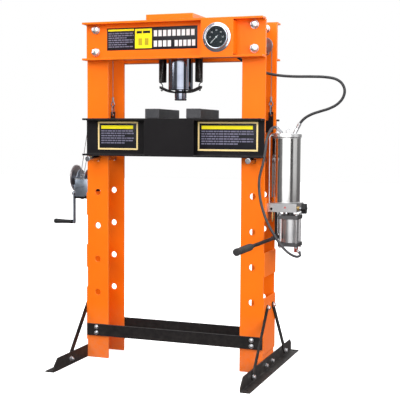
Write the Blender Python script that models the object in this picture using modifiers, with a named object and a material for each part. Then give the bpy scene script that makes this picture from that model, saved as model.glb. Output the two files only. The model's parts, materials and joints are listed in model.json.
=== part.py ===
"""Hydraulic shop press: an H-frame press with a winch-lifted bed and an air-over-oil pump.

Metres, +Z up, floor at z = 0. Left is -X, front is -Y.
"""
import math

import bmesh
import bpy
from mathutils import Matrix, Vector

# Clearances
GAP = 0.0003
SLIDE_GAP = 0.001

# Frame
FRAME_WIDTH = 1.005
COLUMN_DEPTH = 0.214
BAR_WIDTH = 0.124
BAR_THICKNESS = 0.012
BATTEN_THICKNESS = 0.006
BATTEN_SPANS = ((0.098, 0.390), (0.502, 0.625), (0.790, 0.910))
FOOT_PLATE_HEIGHT = 0.090
CHANNEL_HEIGHT = 0.200
CHANNEL_FLANGE = 0.062
CHANNEL_WEB = 0.0075
CHANNEL_FLANGE_THICKNESS = 0.010
BEAM_BOTTOM = 1.6234
TOP_PLATE_WIDTH = 0.260
TOP_PLATE_THICKNESS = 0.028
CROSS_PLATE_BOTTOM = 0.124
CROSS_PLATE_HEIGHT = 0.065
CROSS_PLATE_THICKNESS = 0.010

# Pin holes and pins
TOP_HOLE_Z = 1.099
HOLE_PITCH = 0.1835
HOLE_COUNT = 5
PIN_DIAMETER = 0.030
PIN_CLEARANCE = 0.002
PIN_LENGTH = 0.420
LEFT_PIN_FRONT = -0.228
RIGHT_PIN_FRONT = -0.196

# Bed
BED_PLATE_WIDTH = 0.274
BED_STIFFENER_THICKNESS = 0.008
TIE_PLATE_INSET = 0.140
TIE_PLATE_THICKNESS = 0.012
PRESS_PLATE_WIDTH = 0.080
PRESS_PLATE_OVERHANG = 0.076
PRESS_PLATE_THICKNESS = 0.050
PRESS_PLATE_Y = -0.022
LEFT_PLATE_INNER = 0.055
RIGHT_PLATE_INNER = 0.096

# Feet and struts
FOOT_FRONT = 0.489
FOOT_REAR = 0.461
FOOT_WIDTH = 0.051
FOOT_HEIGHT = 0.068
FOOT_THICKNESS = 0.006
FOOT_CHAMFER = 0.045
STRUT_WIDTH = 0.030
STRUT_THICKNESS = 0.006
STRUT_TOP_Z = 0.336
STRUT_TOP_Y = 0.052
STRUT_FOOT_Z = 0.033
STRUT_FOOT_Y = 0.305
BOLT_HOLE_RADIUS = 0.0065

# Cylinder, ram and return springs
CYLINDER_RADIUS = 0.0655
CYLINDER_WALL = 0.0105
CYLINDER_DROP = 0.1554
CYLINDER_CROWN = 0.025
GLAND_HEIGHT = 0.032
ROD_RADIUS = 0.030
PISTON_RISE = 0.0566
PISTON_HEIGHT = 0.035
SPIGOT_RADIUS = 0.012
SPIGOT_LENGTH = 0.034
NOSE_RADIUS = 0.032
NOSE_HEIGHT = 0.040
BRACKET_THICKNESS = 0.008
BRACKET_DROP = 0.1712
BRACKET_HALF_WIDTH = 0.116
BRACKET_DEPTH = 0.036
BRACKET_RISE = 0.027
SPRING_X = 0.104
SPRING_RADIUS = 0.019
SPRING_WIRE_RADIUS = 0.0027
SPRING_COIL_DROP = 0.1164
SPRING_COIL_RISE = 0.0316
SPRING_TURNS = 13
GUIDE_PLATE_RISE = 0.0766
GUIDE_PLATE_THICKNESS = 0.012
GUIDE_PLATE_WIDTH = 0.270
OIL_PORT_RISE = 0.1216

# Gauge
GAUGE_X = 0.263
GAUGE_Z = BEAM_BOTTOM + CHANNEL_HEIGHT / 2
GAUGE_PANEL_WIDTH = 0.174
GAUGE_PANEL_THICKNESS = 0.004
GAUGE_CASE_RADIUS = 0.056
GAUGE_FLANGE_RADIUS = 0.075
GAUGE_CASE_DEPTH = 0.038
GAUGE_BEZEL_HEIGHT = 0.014
GAUGE_LINE_RADIUS = 0.004

# Winch, ropes and pulleys
SHELF_LENGTH = 0.1035
SHELF_TOP = 0.884
SHELF_THICKNESS = 0.006
SHELF_DEPTH = 0.120
WINCH_BACK_TOP = 0.995
WINCH_BACK_BOTTOM = 0.800
WINCH_WALL = 0.004
WINCH_STANDOFF = 0.0425
WINCH_DEPTH = 0.116
DRUM_Z = 0.983
DRUM_CORE_RADIUS = 0.020
DRUM_FLANGE_RADIUS = 0.050
DRUM_TUBE_RADIUS = 0.016
DRUM_SHAFT_RADIUS = 0.008
GEAR_MODULE = 0.0025
GEAR_TEETH = 58
PINION_TEETH = 10
GEAR_STANDOFF = 0.1235
GEAR_THICKNESS = 0.008
PINION_SHAFT_RADIUS = 0.0075
CRANK_STANDOFF = 0.1375
CRANK_THICKNESS = 0.006
CRANK_LENGTH = 0.162
CRANK_WIDTH = 0.022
GRIP_LENGTH = 0.118
GRIP_RADIUS = 0.0135
SPINDLE_RADIUS = 0.005
PULLEY_INSET = 0.0625
PULLEY_RISE = 0.0766
PULLEY_RADIUS = 0.044
PULLEY_WIDTH = 0.014
AXLE_RADIUS = 0.008
ROPE_RADIUS = 0.002
ROPE_TRACK_RADIUS = 0.040
SECOND_ROPE_Y = 0.080
ROPE_JOIN_DROP = 0.0234
DROP_BOTTOM_Z = 1.432
LUG_TOP = 1.352
LUG_HOLE_Z = 1.336
LUG_HOLE_RADIUS = 0.008
LUG_THICKNESS = 0.010

# Pump
TANK_STANDOFF = 0.084
TANK_RADIUS = 0.074
TANK_WALL = 0.003
TANK_TOP = 1.219
CAP_RADIUS = 0.079
CAP_THICKNESS = 0.021
OIL_FITTING_PLACE = (0.0582, 0.0, 0.0477)
AIR_FITTING_PLACE = (-0.025, -0.0466, 0.037)
BLOCK_BOTTOM = 0.838
BLOCK_TOP = 0.882
BLOCK_LENGTH = 0.1615
BLOCK_DEPTH = 0.150
KNOB_Y = -0.045
KNOB_Z = 0.858
KNOB_RADIUS = 0.029
KNOB_THICKNESS = 0.022
KNOB_STEM_RADIUS = 0.006
KNOB_STEM_LENGTH = 0.022
MOTOR_STANDOFF = 0.1105
MOTOR_SIDE = 0.104
MOTOR_PLATE = 0.020
MOTOR_TOP = 0.820
MOTOR_BOTTOM = 0.659
MOTOR_BODY_RADIUS = 0.046
LEVER_STANDOFF = 0.0485
FULCRUM_Y = -0.053
LEVER_Z = 0.705
PLUNGER_Y = -0.023
PLUNGER_RADIUS = 0.008
PIVOT_RADIUS = 0.004
LEVER_ROD_RADIUS = 0.009
LEVER_END_Y = -0.690
LEVER_GRIP_START_Y = -0.483
LEVER_GRIP_END_Y = -0.712
LEVER_GRIP_RADIUS = 0.018

# Hoses
OIL_HOSE_RADIUS = 0.007
AIR_HOSE_RADIUS = 0.0068
OIL_HOSE_ROUTE = (
    (0.6447, 0.000, 1.2667), (0.6600, 0.000, 1.2950), (0.6850, 0.000, 1.3200),
    (0.7200, 0.000, 1.3390), (0.7630, 0.000, 1.3530), (0.8080, 0.000, 1.3670),
    (0.8480, 0.000, 1.3880), (0.8760, 0.000, 1.4190), (0.8850, 0.000, 1.4570),
    (0.8700, 0.000, 1.4930), (0.8350, 0.000, 1.5160), (0.7790, 0.000, 1.5260),
    (0.7120, 0.000, 1.5290), (0.6190, 0.000, 1.5310), (0.5380, -0.010, 1.5380),
    (0.4700, -0.035, 1.5530), (0.4150, -0.060, 1.5800), (0.3600, -0.078, 1.6180),
    (0.3050, -0.083, 1.6580), (0.2500, -0.083, 1.6900), (0.1950, -0.083, 1.7190),
    (0.1450, -0.083, 1.7390), (0.1000, -0.083, 1.7450), (0.0610, -0.083, 1.7450),
)
AIR_HOSE_ROUTE = (
    (0.5615, -0.0466, 1.2560), (0.5530, -0.0610, 1.2670), (0.5430, -0.0790, 1.2700),
    (0.5320, -0.0980, 1.2600), (0.5240, -0.1150, 1.2360), (0.5180, -0.1300, 1.2000),
    (0.5150, -0.1400, 1.1500), (0.5060, -0.1460, 1.0880), (0.4880, -0.1480, 1.0110),
    (0.4900, -0.1480, 0.9330), (0.5070, -0.1480, 0.8560), (0.5350, -0.1480, 0.7860),
    (0.5740, -0.1500, 0.7220), (0.6120, -0.1520, 0.6720), (0.6500, -0.1500, 0.6380),
    (0.6820, -0.1340, 0.6220), (0.6940, -0.1070, 0.6260), (0.6850, -0.0820, 0.6370),
    (0.6700, -0.0560, 0.6410),
)

# Colours: linear red, green, blue, then roughness and metallic
ORANGE = ("orange paint", (0.90, 0.22, 0.02), 0.35, 0.0)
BLACK = ("black paint", (0.018, 0.016, 0.018), 0.45, 0.0)
DARK_CHROME = ("dark chrome", (0.10, 0.11, 0.14), 0.15, 1.0)
SPRING_BLACK = ("oiled spring steel", (0.03, 0.03, 0.03), 0.4, 0.6)
ZINC = ("zinc plate", (0.62, 0.66, 0.72), 0.3, 1.0)
STEEL = ("bright steel", (0.72, 0.72, 0.74), 0.22, 1.0)
ALUMINIUM = ("aluminium", (0.78, 0.78, 0.80), 0.3, 1.0)
BLACK_PLASTIC = ("black plastic", (0.02, 0.02, 0.02), 0.5, 0.0)
HOSE_RUBBER = ("hose rubber", (0.02, 0.02, 0.022), 0.55, 0.0)
DIAL_BLACK = ("dial black", (0.02, 0.025, 0.03), 0.5, 0.0)
NEEDLE_WHITE = ("needle white", (0.9, 0.9, 0.9), 0.4, 0.0)

# Sizes that follow from the ones above
HALF_WIDTH = FRAME_WIDTH / 2
HALF_DEPTH = COLUMN_DEPTH / 2
BAR_CENTRE_X = HALF_WIDTH - BAR_WIDTH / 2
BEAM_TOP = BEAM_BOTTOM + CHANNEL_HEIGHT
CYLINDER_BORE_RADIUS = round(CYLINDER_RADIUS - CYLINDER_WALL, 9)
CYLINDER_BOTTOM = round(BEAM_BOTTOM - CYLINDER_DROP, 9)
PISTON_TOP = round(BEAM_BOTTOM + PISTON_RISE, 9)
BRACKET_BOTTOM = round(BEAM_BOTTOM - BRACKET_DROP, 9)
SPRING_COIL_BOTTOM = round(BEAM_BOTTOM - SPRING_COIL_DROP, 9)
SPRING_COIL_TOP = round(BEAM_BOTTOM + SPRING_COIL_RISE, 9)
GUIDE_PLATE_BOTTOM = round(BEAM_BOTTOM + GUIDE_PLATE_RISE, 9)
OIL_PORT_Z = round(BEAM_BOTTOM + OIL_PORT_RISE, 9)
PULLEY_Z = round(BEAM_BOTTOM + PULLEY_RISE, 9)
DROP_TOP_Z = round(BEAM_BOTTOM - ROPE_JOIN_DROP, 9)
BED_BOTTOM = TOP_HOLE_Z + PIN_DIAMETER / 2 + GAP
BED_TOP = BED_BOTTOM + CHANNEL_HEIGHT
PRESS_PLATE_LENGTH = round(COLUMN_DEPTH + PRESS_PLATE_OVERHANG, 9)
TIE_PLATE_X = round(HALF_WIDTH - TIE_PLATE_INSET, 9)
SHELF_REACH = round(HALF_WIDTH + SHELF_LENGTH, 9)
WINCH_INNER_X = -round(HALF_WIDTH + WINCH_STANDOFF, 9)
GEAR_X = -round(HALF_WIDTH + GEAR_STANDOFF, 9)
CRANK_X = -round(HALF_WIDTH + CRANK_STANDOFF, 9)
PULLEY_X = round(HALF_WIDTH - PULLEY_INSET, 9)
TANK_X = round(HALF_WIDTH + TANK_STANDOFF, 9)
BLOCK_RIGHT = round(HALF_WIDTH + BLOCK_LENGTH, 9)
MOTOR_X = round(HALF_WIDTH + MOTOR_STANDOFF, 9)
LEVER_X = round(HALF_WIDTH + LEVER_STANDOFF, 9)
FLANGE_TIP = HALF_DEPTH + GAP + CHANNEL_FLANGE
SIDE_FACE = HALF_WIDTH + BATTEN_THICKNESS
GEAR_PITCH_RADIUS = GEAR_MODULE * GEAR_TEETH / 2
PINION_PITCH_RADIUS = GEAR_MODULE * PINION_TEETH / 2
PINION_Z = DRUM_Z - GEAR_PITCH_RADIUS - PINION_PITCH_RADIUS
LEFT_DROP_X = -(PULLEY_X - ROPE_TRACK_RADIUS)
RIGHT_DROP_X = PULLEY_X + ROPE_TRACK_RADIUS
GRIP_END_X = CRANK_X - CRANK_THICKNESS / 2 - 0.006 - GRIP_LENGTH
KNOB_END_X = BLOCK_RIGHT + KNOB_STEM_LENGTH + KNOB_THICKNESS
CENTRE_SHIFT_X = -(GRIP_END_X + KNOB_END_X) / 2
CENTRE_SHIFT_Y = -(LEVER_GRIP_END_Y + FOOT_REAR) / 2

ALONG_X = Matrix(((0, 0, 1), (1, 0, 0), (0, 1, 0))).to_4x4()
ALONG_Y = Matrix(((0, 1, 0), (0, 0, 1), (1, 0, 0))).to_4x4()
ALONG_Z = Matrix.Identity(4)


def clear_scene():
    for obj in list(bpy.data.objects):
        bpy.data.objects.remove(obj, do_unlink=True)


def new_collection(name):
    collection = bpy.data.collections.new(name)
    bpy.context.scene.collection.children.link(collection)
    return collection


clear_scene()
PARTS = new_collection("hydraulic_shop_press")
CUTTERS = new_collection("cutters")
CENTRE = bpy.data.objects.new("press_centre", None)
CENTRE.location = (CENTRE_SHIFT_X, CENTRE_SHIFT_Y, 0)
PARTS.objects.link(CENTRE)


def material(finish):
    name, colour, roughness, metallic = finish
    if name in bpy.data.materials:
        return bpy.data.materials[name]
    made = bpy.data.materials.new(name)
    made.use_nodes = True
    shader = made.node_tree.nodes["Principled BSDF"]
    shader.inputs["Base Color"].default_value = (*colour, 1)
    shader.inputs["Roughness"].default_value = roughness
    shader.inputs["Metallic"].default_value = metallic
    return made


def place(name, mesh, origin, finish):
    """An object whose mesh is given in press coordinates, with its origin at a chosen point."""
    mesh.transform(Matrix.Translation(-Vector(origin)))
    obj = bpy.data.objects.new(name, mesh)
    obj.location = origin
    obj.parent = CENTRE
    if finish is None:
        obj.hide_render = True
        obj.display_type = "WIRE"
        CUTTERS.objects.link(obj)
    else:
        mesh.materials.append(material(finish))
        PARTS.objects.link(obj)
    return obj


def mesh_of(bm, name):
    bmesh.ops.recalc_face_normals(bm, faces=bm.faces)
    mesh = bpy.data.meshes.new(name)
    bm.to_mesh(mesh)
    bm.free()
    return mesh


def box(name, low, high, finish=None, origin=(0, 0, 0), bevel=0.0):
    low, high = Vector(low), Vector(high)
    bm = bmesh.new()
    size = Matrix.Diagonal((high - low).to_4d())
    size[3][3] = 1
    bmesh.ops.create_cube(bm, size=1, matrix=Matrix.Translation((low + high) / 2) @ size)
    obj = place(name, mesh_of(bm, name), origin, finish)
    if bevel:
        modifier = obj.modifiers.new("edges", "BEVEL")
        modifier.width = bevel
        modifier.segments = 2
    return obj


def rod(name, start, end, radius, finish=None, origin=(0, 0, 0), sides=20, bevel=0.0):
    start, end = Vector(start), Vector(end)
    run = end - start
    turn = run.to_track_quat("Z", "Y").to_matrix().to_4x4()
    bm = bmesh.new()
    bmesh.ops.create_cone(bm, cap_ends=True, segments=sides, radius1=radius, radius2=radius,
                          depth=run.length, matrix=Matrix.Translation((start + end) / 2) @ turn)
    obj = place(name, mesh_of(bm, name), origin, finish)
    if bevel:
        modifier = obj.modifiers.new("edges", "BEVEL")
        modifier.width = bevel
        modifier.segments = 2
        modifier.limit_method = "ANGLE"
    obj.data.shade_smooth()
    obj.data.set_sharp_from_angle(angle=math.radians(40))
    return obj


def turned(name, profile, centre, axis, finish=None, steps=24, closed=False):
    """A lathe shape: (radius, height) pairs, from the top down the outer side."""
    mesh = bpy.data.meshes.new(name)
    edges = [(i, i + 1) for i in range(len(profile) - 1)]
    if closed:
        edges.append((len(profile) - 1, 0))
    mesh.from_pydata([(radius, 0, height) for radius, height in profile], edges, [])
    obj = bpy.data.objects.new(name, mesh)
    obj.location = centre
    obj.rotation_euler = Vector(axis).to_track_quat("Z", "Y").to_euler()
    obj.parent = CENTRE
    screw = obj.modifiers.new("lathe", "SCREW")
    screw.steps = steps
    screw.render_steps = steps
    screw.use_merge_vertices = True
    screw.merge_threshold = 0.00001
    screw.use_smooth_shade = True
    if finish is None:
        obj.hide_render = True
        obj.display_type = "WIRE"
        CUTTERS.objects.link(obj)
    else:
        mesh.materials.append(material(finish))
        PARTS.objects.link(obj)
    return obj


def mesh_from_curve(curve, name):
    """The filled or bevelled curve as a mesh with its caps welded on."""
    holder = bpy.data.objects.new(name + "_curve", curve)
    bpy.context.scene.collection.objects.link(holder)
    graph = bpy.context.evaluated_depsgraph_get()
    mesh = bpy.data.meshes.new_from_object(holder.evaluated_get(graph))
    bpy.data.objects.remove(holder, do_unlink=True)
    mesh.materials.clear()
    bm = bmesh.new()
    bm.from_mesh(mesh)
    bmesh.ops.remove_doubles(bm, verts=bm.verts, dist=0.00001)
    bmesh.ops.recalc_face_normals(bm, faces=bm.faces)
    bm.to_mesh(mesh)
    bm.free()
    return mesh


def extrusion(name, outline, start, end, axis, finish=None, origin=(0, 0, 0)):
    """A flat outline pulled from start to end along an axis.

    Outline pairs are (y, z) along X, (z, x) along Y and (x, y) along Z.
    """
    curve = bpy.data.curves.new(name, "CURVE")
    curve.dimensions = "2D"
    curve.fill_mode = "BOTH"
    curve.extrude = abs(end - start) / 2
    spline = curve.splines.new("POLY")
    spline.points.add(len(outline) - 1)
    for point, (a, b) in zip(spline.points, outline):
        point.co = (a, b, 0, 1)
    spline.use_cyclic_u = True
    mesh = mesh_from_curve(curve, name)
    mesh.transform(axis @ Matrix.Translation((0, 0, (start + end) / 2)))
    return place(name, mesh, origin, finish)


def tube(name, points, radius, finish, cyclic=False, resolution=2, origin=(0, 0, 0)):
    curve = bpy.data.curves.new(name, "CURVE")
    curve.dimensions = "3D"
    curve.bevel_depth = radius
    curve.bevel_resolution = resolution
    curve.use_fill_caps = not cyclic
    spline = curve.splines.new("POLY")
    spline.points.add(len(points) - 1)
    for target, point in zip(spline.points, points):
        target.co = (*point, 1)
    spline.use_cyclic_u = cyclic
    obj = place(name, mesh_from_curve(curve, name), origin, finish)
    obj.data.shade_smooth()
    return obj


def combine(target, tools, operation):
    for tool in tools:
        modifier = target.modifiers.new(tool.name, "BOOLEAN")
        modifier.operation = operation
        modifier.object = tool
        modifier.solver = "EXACT"


def join(target, *tools):
    combine(target, tools, "UNION")


def cut(target, *tools):
    combine(target, tools, "DIFFERENCE")


def arc(centre, radius, first, last, steps):
    """Points of an arc, angles in degrees."""
    angles = [math.radians(first + (last - first) * i / steps) for i in range(steps + 1)]
    return [(centre[0] + radius * math.cos(a), centre[1] + radius * math.sin(a)) for a in angles]


def slot_outline(start, end, radius, steps=6):
    """A bar outline with round ends."""
    heading = math.degrees(math.atan2(end[1] - start[1], end[0] - start[0]))
    return (arc(end, radius, heading - 90, heading + 90, steps)
            + arc(start, radius, heading + 90, heading + 270, steps))


def smooth_route(points, count):
    """Points of a Catmull-Rom curve, evenly spread over the route's own points."""
    route = [Vector(p) for p in points]
    route = [route[0] * 2 - route[1]] + route + [route[-1] * 2 - route[-2]]
    spans = len(points) - 1
    result = []
    for i in range(count + 1):
        place_along = min(i * spans / count, spans - 1e-9)
        k = int(place_along)
        t = place_along - k
        a, b, c, d = route[k:k + 4]
        result.append(0.5 * (2 * b + (c - a) * t + (2 * a - 5 * b + 4 * c - d) * t * t
                             + (3 * b - a - 3 * c + d) * t ** 3))
    return result


def gear_outline(teeth, phase, width_share):
    """Tooth outline about the origin, with phase the angle of one tooth's centre in degrees."""
    pitch_radius = GEAR_MODULE * teeth / 2
    tip, root = pitch_radius + 0.85 * GEAR_MODULE, pitch_radius - 1.15 * GEAR_MODULE
    pitch = 360 / teeth
    points = []
    for i in range(teeth):
        middle = phase + i * pitch
        half_root = pitch * width_share * 0.66
        half_tip = pitch * width_share * 0.26
        for radius, turn in ((root, -half_root), (tip, -half_tip), (tip, half_tip), (root, half_root)):
            angle = math.radians(middle + turn)
            points.append((radius * math.cos(angle), radius * math.sin(angle)))
    return points


def shifted(points, a, b):
    return [(x + a, y + b) for x, y in points]


# --- Frame ---

def hole_levels():
    return [TOP_HOLE_Z - HOLE_PITCH * i for i in range(HOLE_COUNT)]


def column(side, prefix):
    inner, outer = sorted((side * (HALF_WIDTH - BAR_WIDTH), side * HALF_WIDTH))
    top = BEAM_TOP - 0.008
    bar_back = HALF_DEPTH - BAR_THICKNESS
    obj = box(prefix + "_column", (inner, -HALF_DEPTH, 0), (outer, -bar_back, top), ORANGE)
    join(obj, box(prefix + "_rear_bar", (inner, bar_back, 0), (outer, HALF_DEPTH, top)))
    near, far = side * (HALF_WIDTH - 0.002), side * SIDE_FACE
    for number, (low, high) in enumerate(BATTEN_SPANS):
        join(obj, box(f"{prefix}_batten_{number}", (min(near, far), -HALF_DEPTH, low),
                      (max(near, far), HALF_DEPTH, high)))
    foot_near, foot_far = side * (HALF_WIDTH - BAR_THICKNESS), side * HALF_WIDTH
    join(obj, box(prefix + "_foot_plate", (min(foot_near, foot_far), -bar_back - 0.001, 0),
                  (max(foot_near, foot_far), bar_back + 0.001, FOOT_PLATE_HEIGHT)))
    pulley_x = side * PULLEY_X
    join(obj, rod(prefix + "_axle", (pulley_x, -bar_back - 0.001, PULLEY_Z),
                  (pulley_x, bar_back + 0.001, PULLEY_Z), AXLE_RADIUS, sides=16))
    radius = PIN_DIAMETER / 2 + PIN_CLEARANCE
    for number, z in enumerate(hole_levels()):
        cut(obj, rod(f"{prefix}_pin_hole_{number}", (side * BAR_CENTRE_X, -HALF_DEPTH - 0.01, z),
                     (side * BAR_CENTRE_X, HALF_DEPTH + 0.01, z), radius, sides=16))
    return obj


def channel(name, face, side, bottom, finish):
    """A channel lying along X whose web stands on the column's face, its flanges pointing away."""
    web_back, web_front, tip = face, face + CHANNEL_WEB, face + CHANNEL_FLANGE
    top = bottom + CHANNEL_HEIGHT
    low, high = bottom + CHANNEL_FLANGE_THICKNESS, top - CHANNEL_FLANGE_THICKNESS
    fillet = 0.006
    outline = [(web_back, bottom), (tip, bottom), (tip, low)]
    outline += arc((web_front + fillet, low + fillet), fillet, 270, 180, 3)
    outline += arc((web_front + fillet, high - fillet), fillet, 180, 90, 3)
    outline += [(tip, high), (tip, top), (web_back, top)]
    outline = [(side * y, z) for y, z in outline]
    return extrusion(name, outline, -HALF_WIDTH, HALF_WIDTH, ALONG_X, finish)


def beam():
    face = HALF_DEPTH + GAP
    front = channel("beam_front_channel", face, -1, BEAM_BOTTOM, ORANGE)
    cut(front, rod("gauge_line_hole", (GAUGE_X, -face - 0.02, GAUGE_Z),
                   (GAUGE_X, -face + 0.01, GAUGE_Z), GAUGE_LINE_RADIUS + 0.003, sides=16))
    channel("beam_rear_channel", face, 1, BEAM_BOTTOM, ORANGE)
    half = TOP_PLATE_WIDTH / 2
    box("beam_top_plate", (-half, -FLANGE_TIP, BEAM_TOP + GAP),
        (half, FLANGE_TIP, BEAM_TOP + GAP + TOP_PLATE_THICKNESS), ORANGE, bevel=0.002)
    half = GUIDE_PLATE_WIDTH / 2
    web = HALF_DEPTH
    guide = box("cylinder_guide_plate", (-half, -web, GUIDE_PLATE_BOTTOM),
                (half, web, GUIDE_PLATE_BOTTOM + GUIDE_PLATE_THICKNESS), ORANGE)
    cut(guide, rod("guide_hole", (0, 0, GUIDE_PLATE_BOTTOM - 0.01),
                   (0, 0, GUIDE_PLATE_BOTTOM + 0.03), CYLINDER_RADIUS + GAP * 2, sides=40))


def cross_plates():
    low = CROSS_PLATE_BOTTOM
    high = low + CROSS_PLATE_HEIGHT
    near = HALF_DEPTH + GAP
    far = near + CROSS_PLATE_THICKNESS
    box("front_cross_plate", (-HALF_WIDTH, -far, low), (HALF_WIDTH, -near, high), BLACK, bevel=0.001)
    box("rear_cross_plate", (-HALF_WIDTH, near, low), (HALF_WIDTH, far, high), BLACK, bevel=0.001)


def foot(side, prefix):
    """An unequal angle: tall leg on the column's side, flat leg on the floor."""
    face = HALF_WIDTH + GAP
    tall = face + FOOT_THICKNESS
    reach = face + FOOT_WIDTH
    outline = [(0, face), (0, reach), (FOOT_THICKNESS, reach), (FOOT_THICKNESS, tall),
               (FOOT_HEIGHT, tall), (FOOT_HEIGHT, face)]
    outline = [(z, side * x) for z, x in outline]
    obj = extrusion(prefix + "_foot", outline, -FOOT_FRONT, FOOT_REAR, ALONG_Y, BLACK)
    depth = FOOT_CHAMFER * math.sqrt(2)
    for end, length in ((-1, FOOT_FRONT), (1, FOOT_REAR)):
        chamfer = FOOT_CHAMFER if end < 0 else FOOT_CHAMFER * 0.5
        corner = [(end * (length + 0.02), FOOT_HEIGHT - chamfer - 0.02),
                  (end * (length + 0.02), FOOT_HEIGHT + depth),
                  (end * (length - chamfer - 0.02), FOOT_HEIGHT + 0.02),
                  ]
        low, high = sorted((side * (face - 0.01), side * (tall + 0.002)))
        cut(obj, extrusion(f"{prefix}_foot_end_{end}", corner, low, high, ALONG_X))
        y = end * (length - 0.03)
        x = side * (face + FOOT_WIDTH * 0.55)
        cut(obj, rod(f"{prefix}_anchor_{end}", (x, y, -0.01), (x, y, 0.02), 0.007, sides=16))
    return obj


def strut(side, end, name):
    low, high = sorted((side * (SIDE_FACE + 2 * GAP), side * (SIDE_FACE + 2 * GAP + STRUT_THICKNESS)))
    top = (end * STRUT_TOP_Y, STRUT_TOP_Z)
    base = (end * STRUT_FOOT_Y, STRUT_FOOT_Z)
    obj = extrusion(name, slot_outline(top, base, STRUT_WIDTH / 2), low, high, ALONG_X, BLACK)
    for number, (y, z) in enumerate((top, base)):
        cut(obj, rod(f"{name}_hole_{number}", (low - 0.01, y, z), (high + 0.01, y, z),
                     BOLT_HOLE_RADIUS, sides=16))


# --- Cylinder and ram ---

def cylinder():
    top = BEAM_TOP - GAP
    bore_top = top - CYLINDER_CROWN
    profile = [(0, top), (CYLINDER_RADIUS, top), (CYLINDER_RADIUS, CYLINDER_BOTTOM + 0.002),
               (CYLINDER_RADIUS - 0.002, CYLINDER_BOTTOM), (CYLINDER_BORE_RADIUS, CYLINDER_BOTTOM),
               (CYLINDER_BORE_RADIUS, bore_top), (0, bore_top)]
    obj = turned("cylinder", profile, (0, 0, 0), (0, 0, 1), DARK_CHROME, steps=30)
    nipple_y = -0.083
    join(obj, rod("port_boss", (0, -CYLINDER_RADIUS + 0.004, OIL_PORT_Z), (0, -0.095, OIL_PORT_Z), 0.011,
                  sides=16),
         rod("port_nipple", (0, nipple_y, OIL_PORT_Z), (0.0605, nipple_y, OIL_PORT_Z), 0.008, sides=16))
    cut(obj, rod("port_drilling", (0, -CYLINDER_BORE_RADIUS + 0.01, OIL_PORT_Z),
                 (0, nipple_y - 0.004, OIL_PORT_Z), 0.004, sides=12),
        rod("nipple_drilling", (0, nipple_y, OIL_PORT_Z), (0.07, nipple_y, OIL_PORT_Z), 0.0038, sides=12))
    inner, outer = ROD_RADIUS + GAP * 2, CYLINDER_BORE_RADIUS - GAP
    low = CYLINDER_BOTTOM
    turned("cylinder_gland", [(inner, low + GLAND_HEIGHT), (outer, low + GLAND_HEIGHT), (outer, low),
                              (inner, low)], (0, 0, 0), (0, 0, 1), STEEL, steps=30, closed=True)


def ram():
    shoulder = BRACKET_BOTTOM + BRACKET_THICKNESS + GAP
    spigot_end = shoulder - SPIGOT_LENGTH
    piston_bottom = PISTON_TOP - PISTON_HEIGHT
    piston_radius = CYLINDER_BORE_RADIUS - GAP
    groove = 0.003
    middle = (PISTON_TOP + piston_bottom) / 2
    profile = [(0, PISTON_TOP), (piston_radius, PISTON_TOP), (piston_radius, middle + groove),
               (piston_radius - groove, middle + groove), (piston_radius - groove, middle - groove),
               (piston_radius, middle - groove), (piston_radius, piston_bottom),
               (ROD_RADIUS, piston_bottom), (ROD_RADIUS, shoulder), (SPIGOT_RADIUS, shoulder),
               (SPIGOT_RADIUS, spigot_end), (0, spigot_end)]
    turned("ram_rod", profile, (0, 0, 0), (0, 0, 1), STEEL, steps=24)
    top = BRACKET_BOTTOM - GAP
    base = top - NOSE_HEIGHT
    pocket = spigot_end - GAP * 2
    bore = SPIGOT_RADIUS + GAP
    profile = [(bore, top), (NOSE_RADIUS - 0.002, top), (NOSE_RADIUS, top - 0.002),
               (NOSE_RADIUS, base + 0.016), (NOSE_RADIUS - 0.0015, base + 0.0145),
               (NOSE_RADIUS - 0.0015, base + 0.012), (NOSE_RADIUS, base + 0.0105),
               (NOSE_RADIUS, base + 0.002), (NOSE_RADIUS - 0.002, base), (0, base), (0, pocket),
               (bore, pocket)]
    turned("ram_nose", profile, (0, 0, 0), (0, 0, 1), STEEL, steps=24, closed=True)


def bracket_height(x):
    """Rise of the spring bracket's arms above its flat middle."""
    flat = 0.034
    run = max(0.0, abs(x) - flat) / (BRACKET_HALF_WIDTH - flat)
    return BRACKET_RISE * run ** 1.6


def spring_bracket():
    steps = 20
    stations = [BRACKET_HALF_WIDTH * (2 * i / steps - 1) for i in range(steps + 1)]
    lower = [(BRACKET_BOTTOM + bracket_height(x), x) for x in stations]
    upper = [(z + BRACKET_THICKNESS, x) for z, x in reversed(lower)]
    obj = extrusion("spring_bracket", lower + upper, -BRACKET_DEPTH / 2, BRACKET_DEPTH / 2, ALONG_Y,
                    BLACK)
    cut(obj, rod("bracket_bore", (0, 0, BRACKET_BOTTOM - 0.01), (0, 0, BRACKET_BOTTOM + 0.03),
                 SPIGOT_RADIUS + GAP))
    for number, x in enumerate((-SPRING_X, SPRING_X)):
        cut(obj, rod(f"hook_hole_{number}", (x, 0, BRACKET_BOTTOM), (x, 0, BRACKET_BOTTOM + 0.05),
                     SPRING_WIRE_RADIUS + 0.0015, sides=12))


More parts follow.
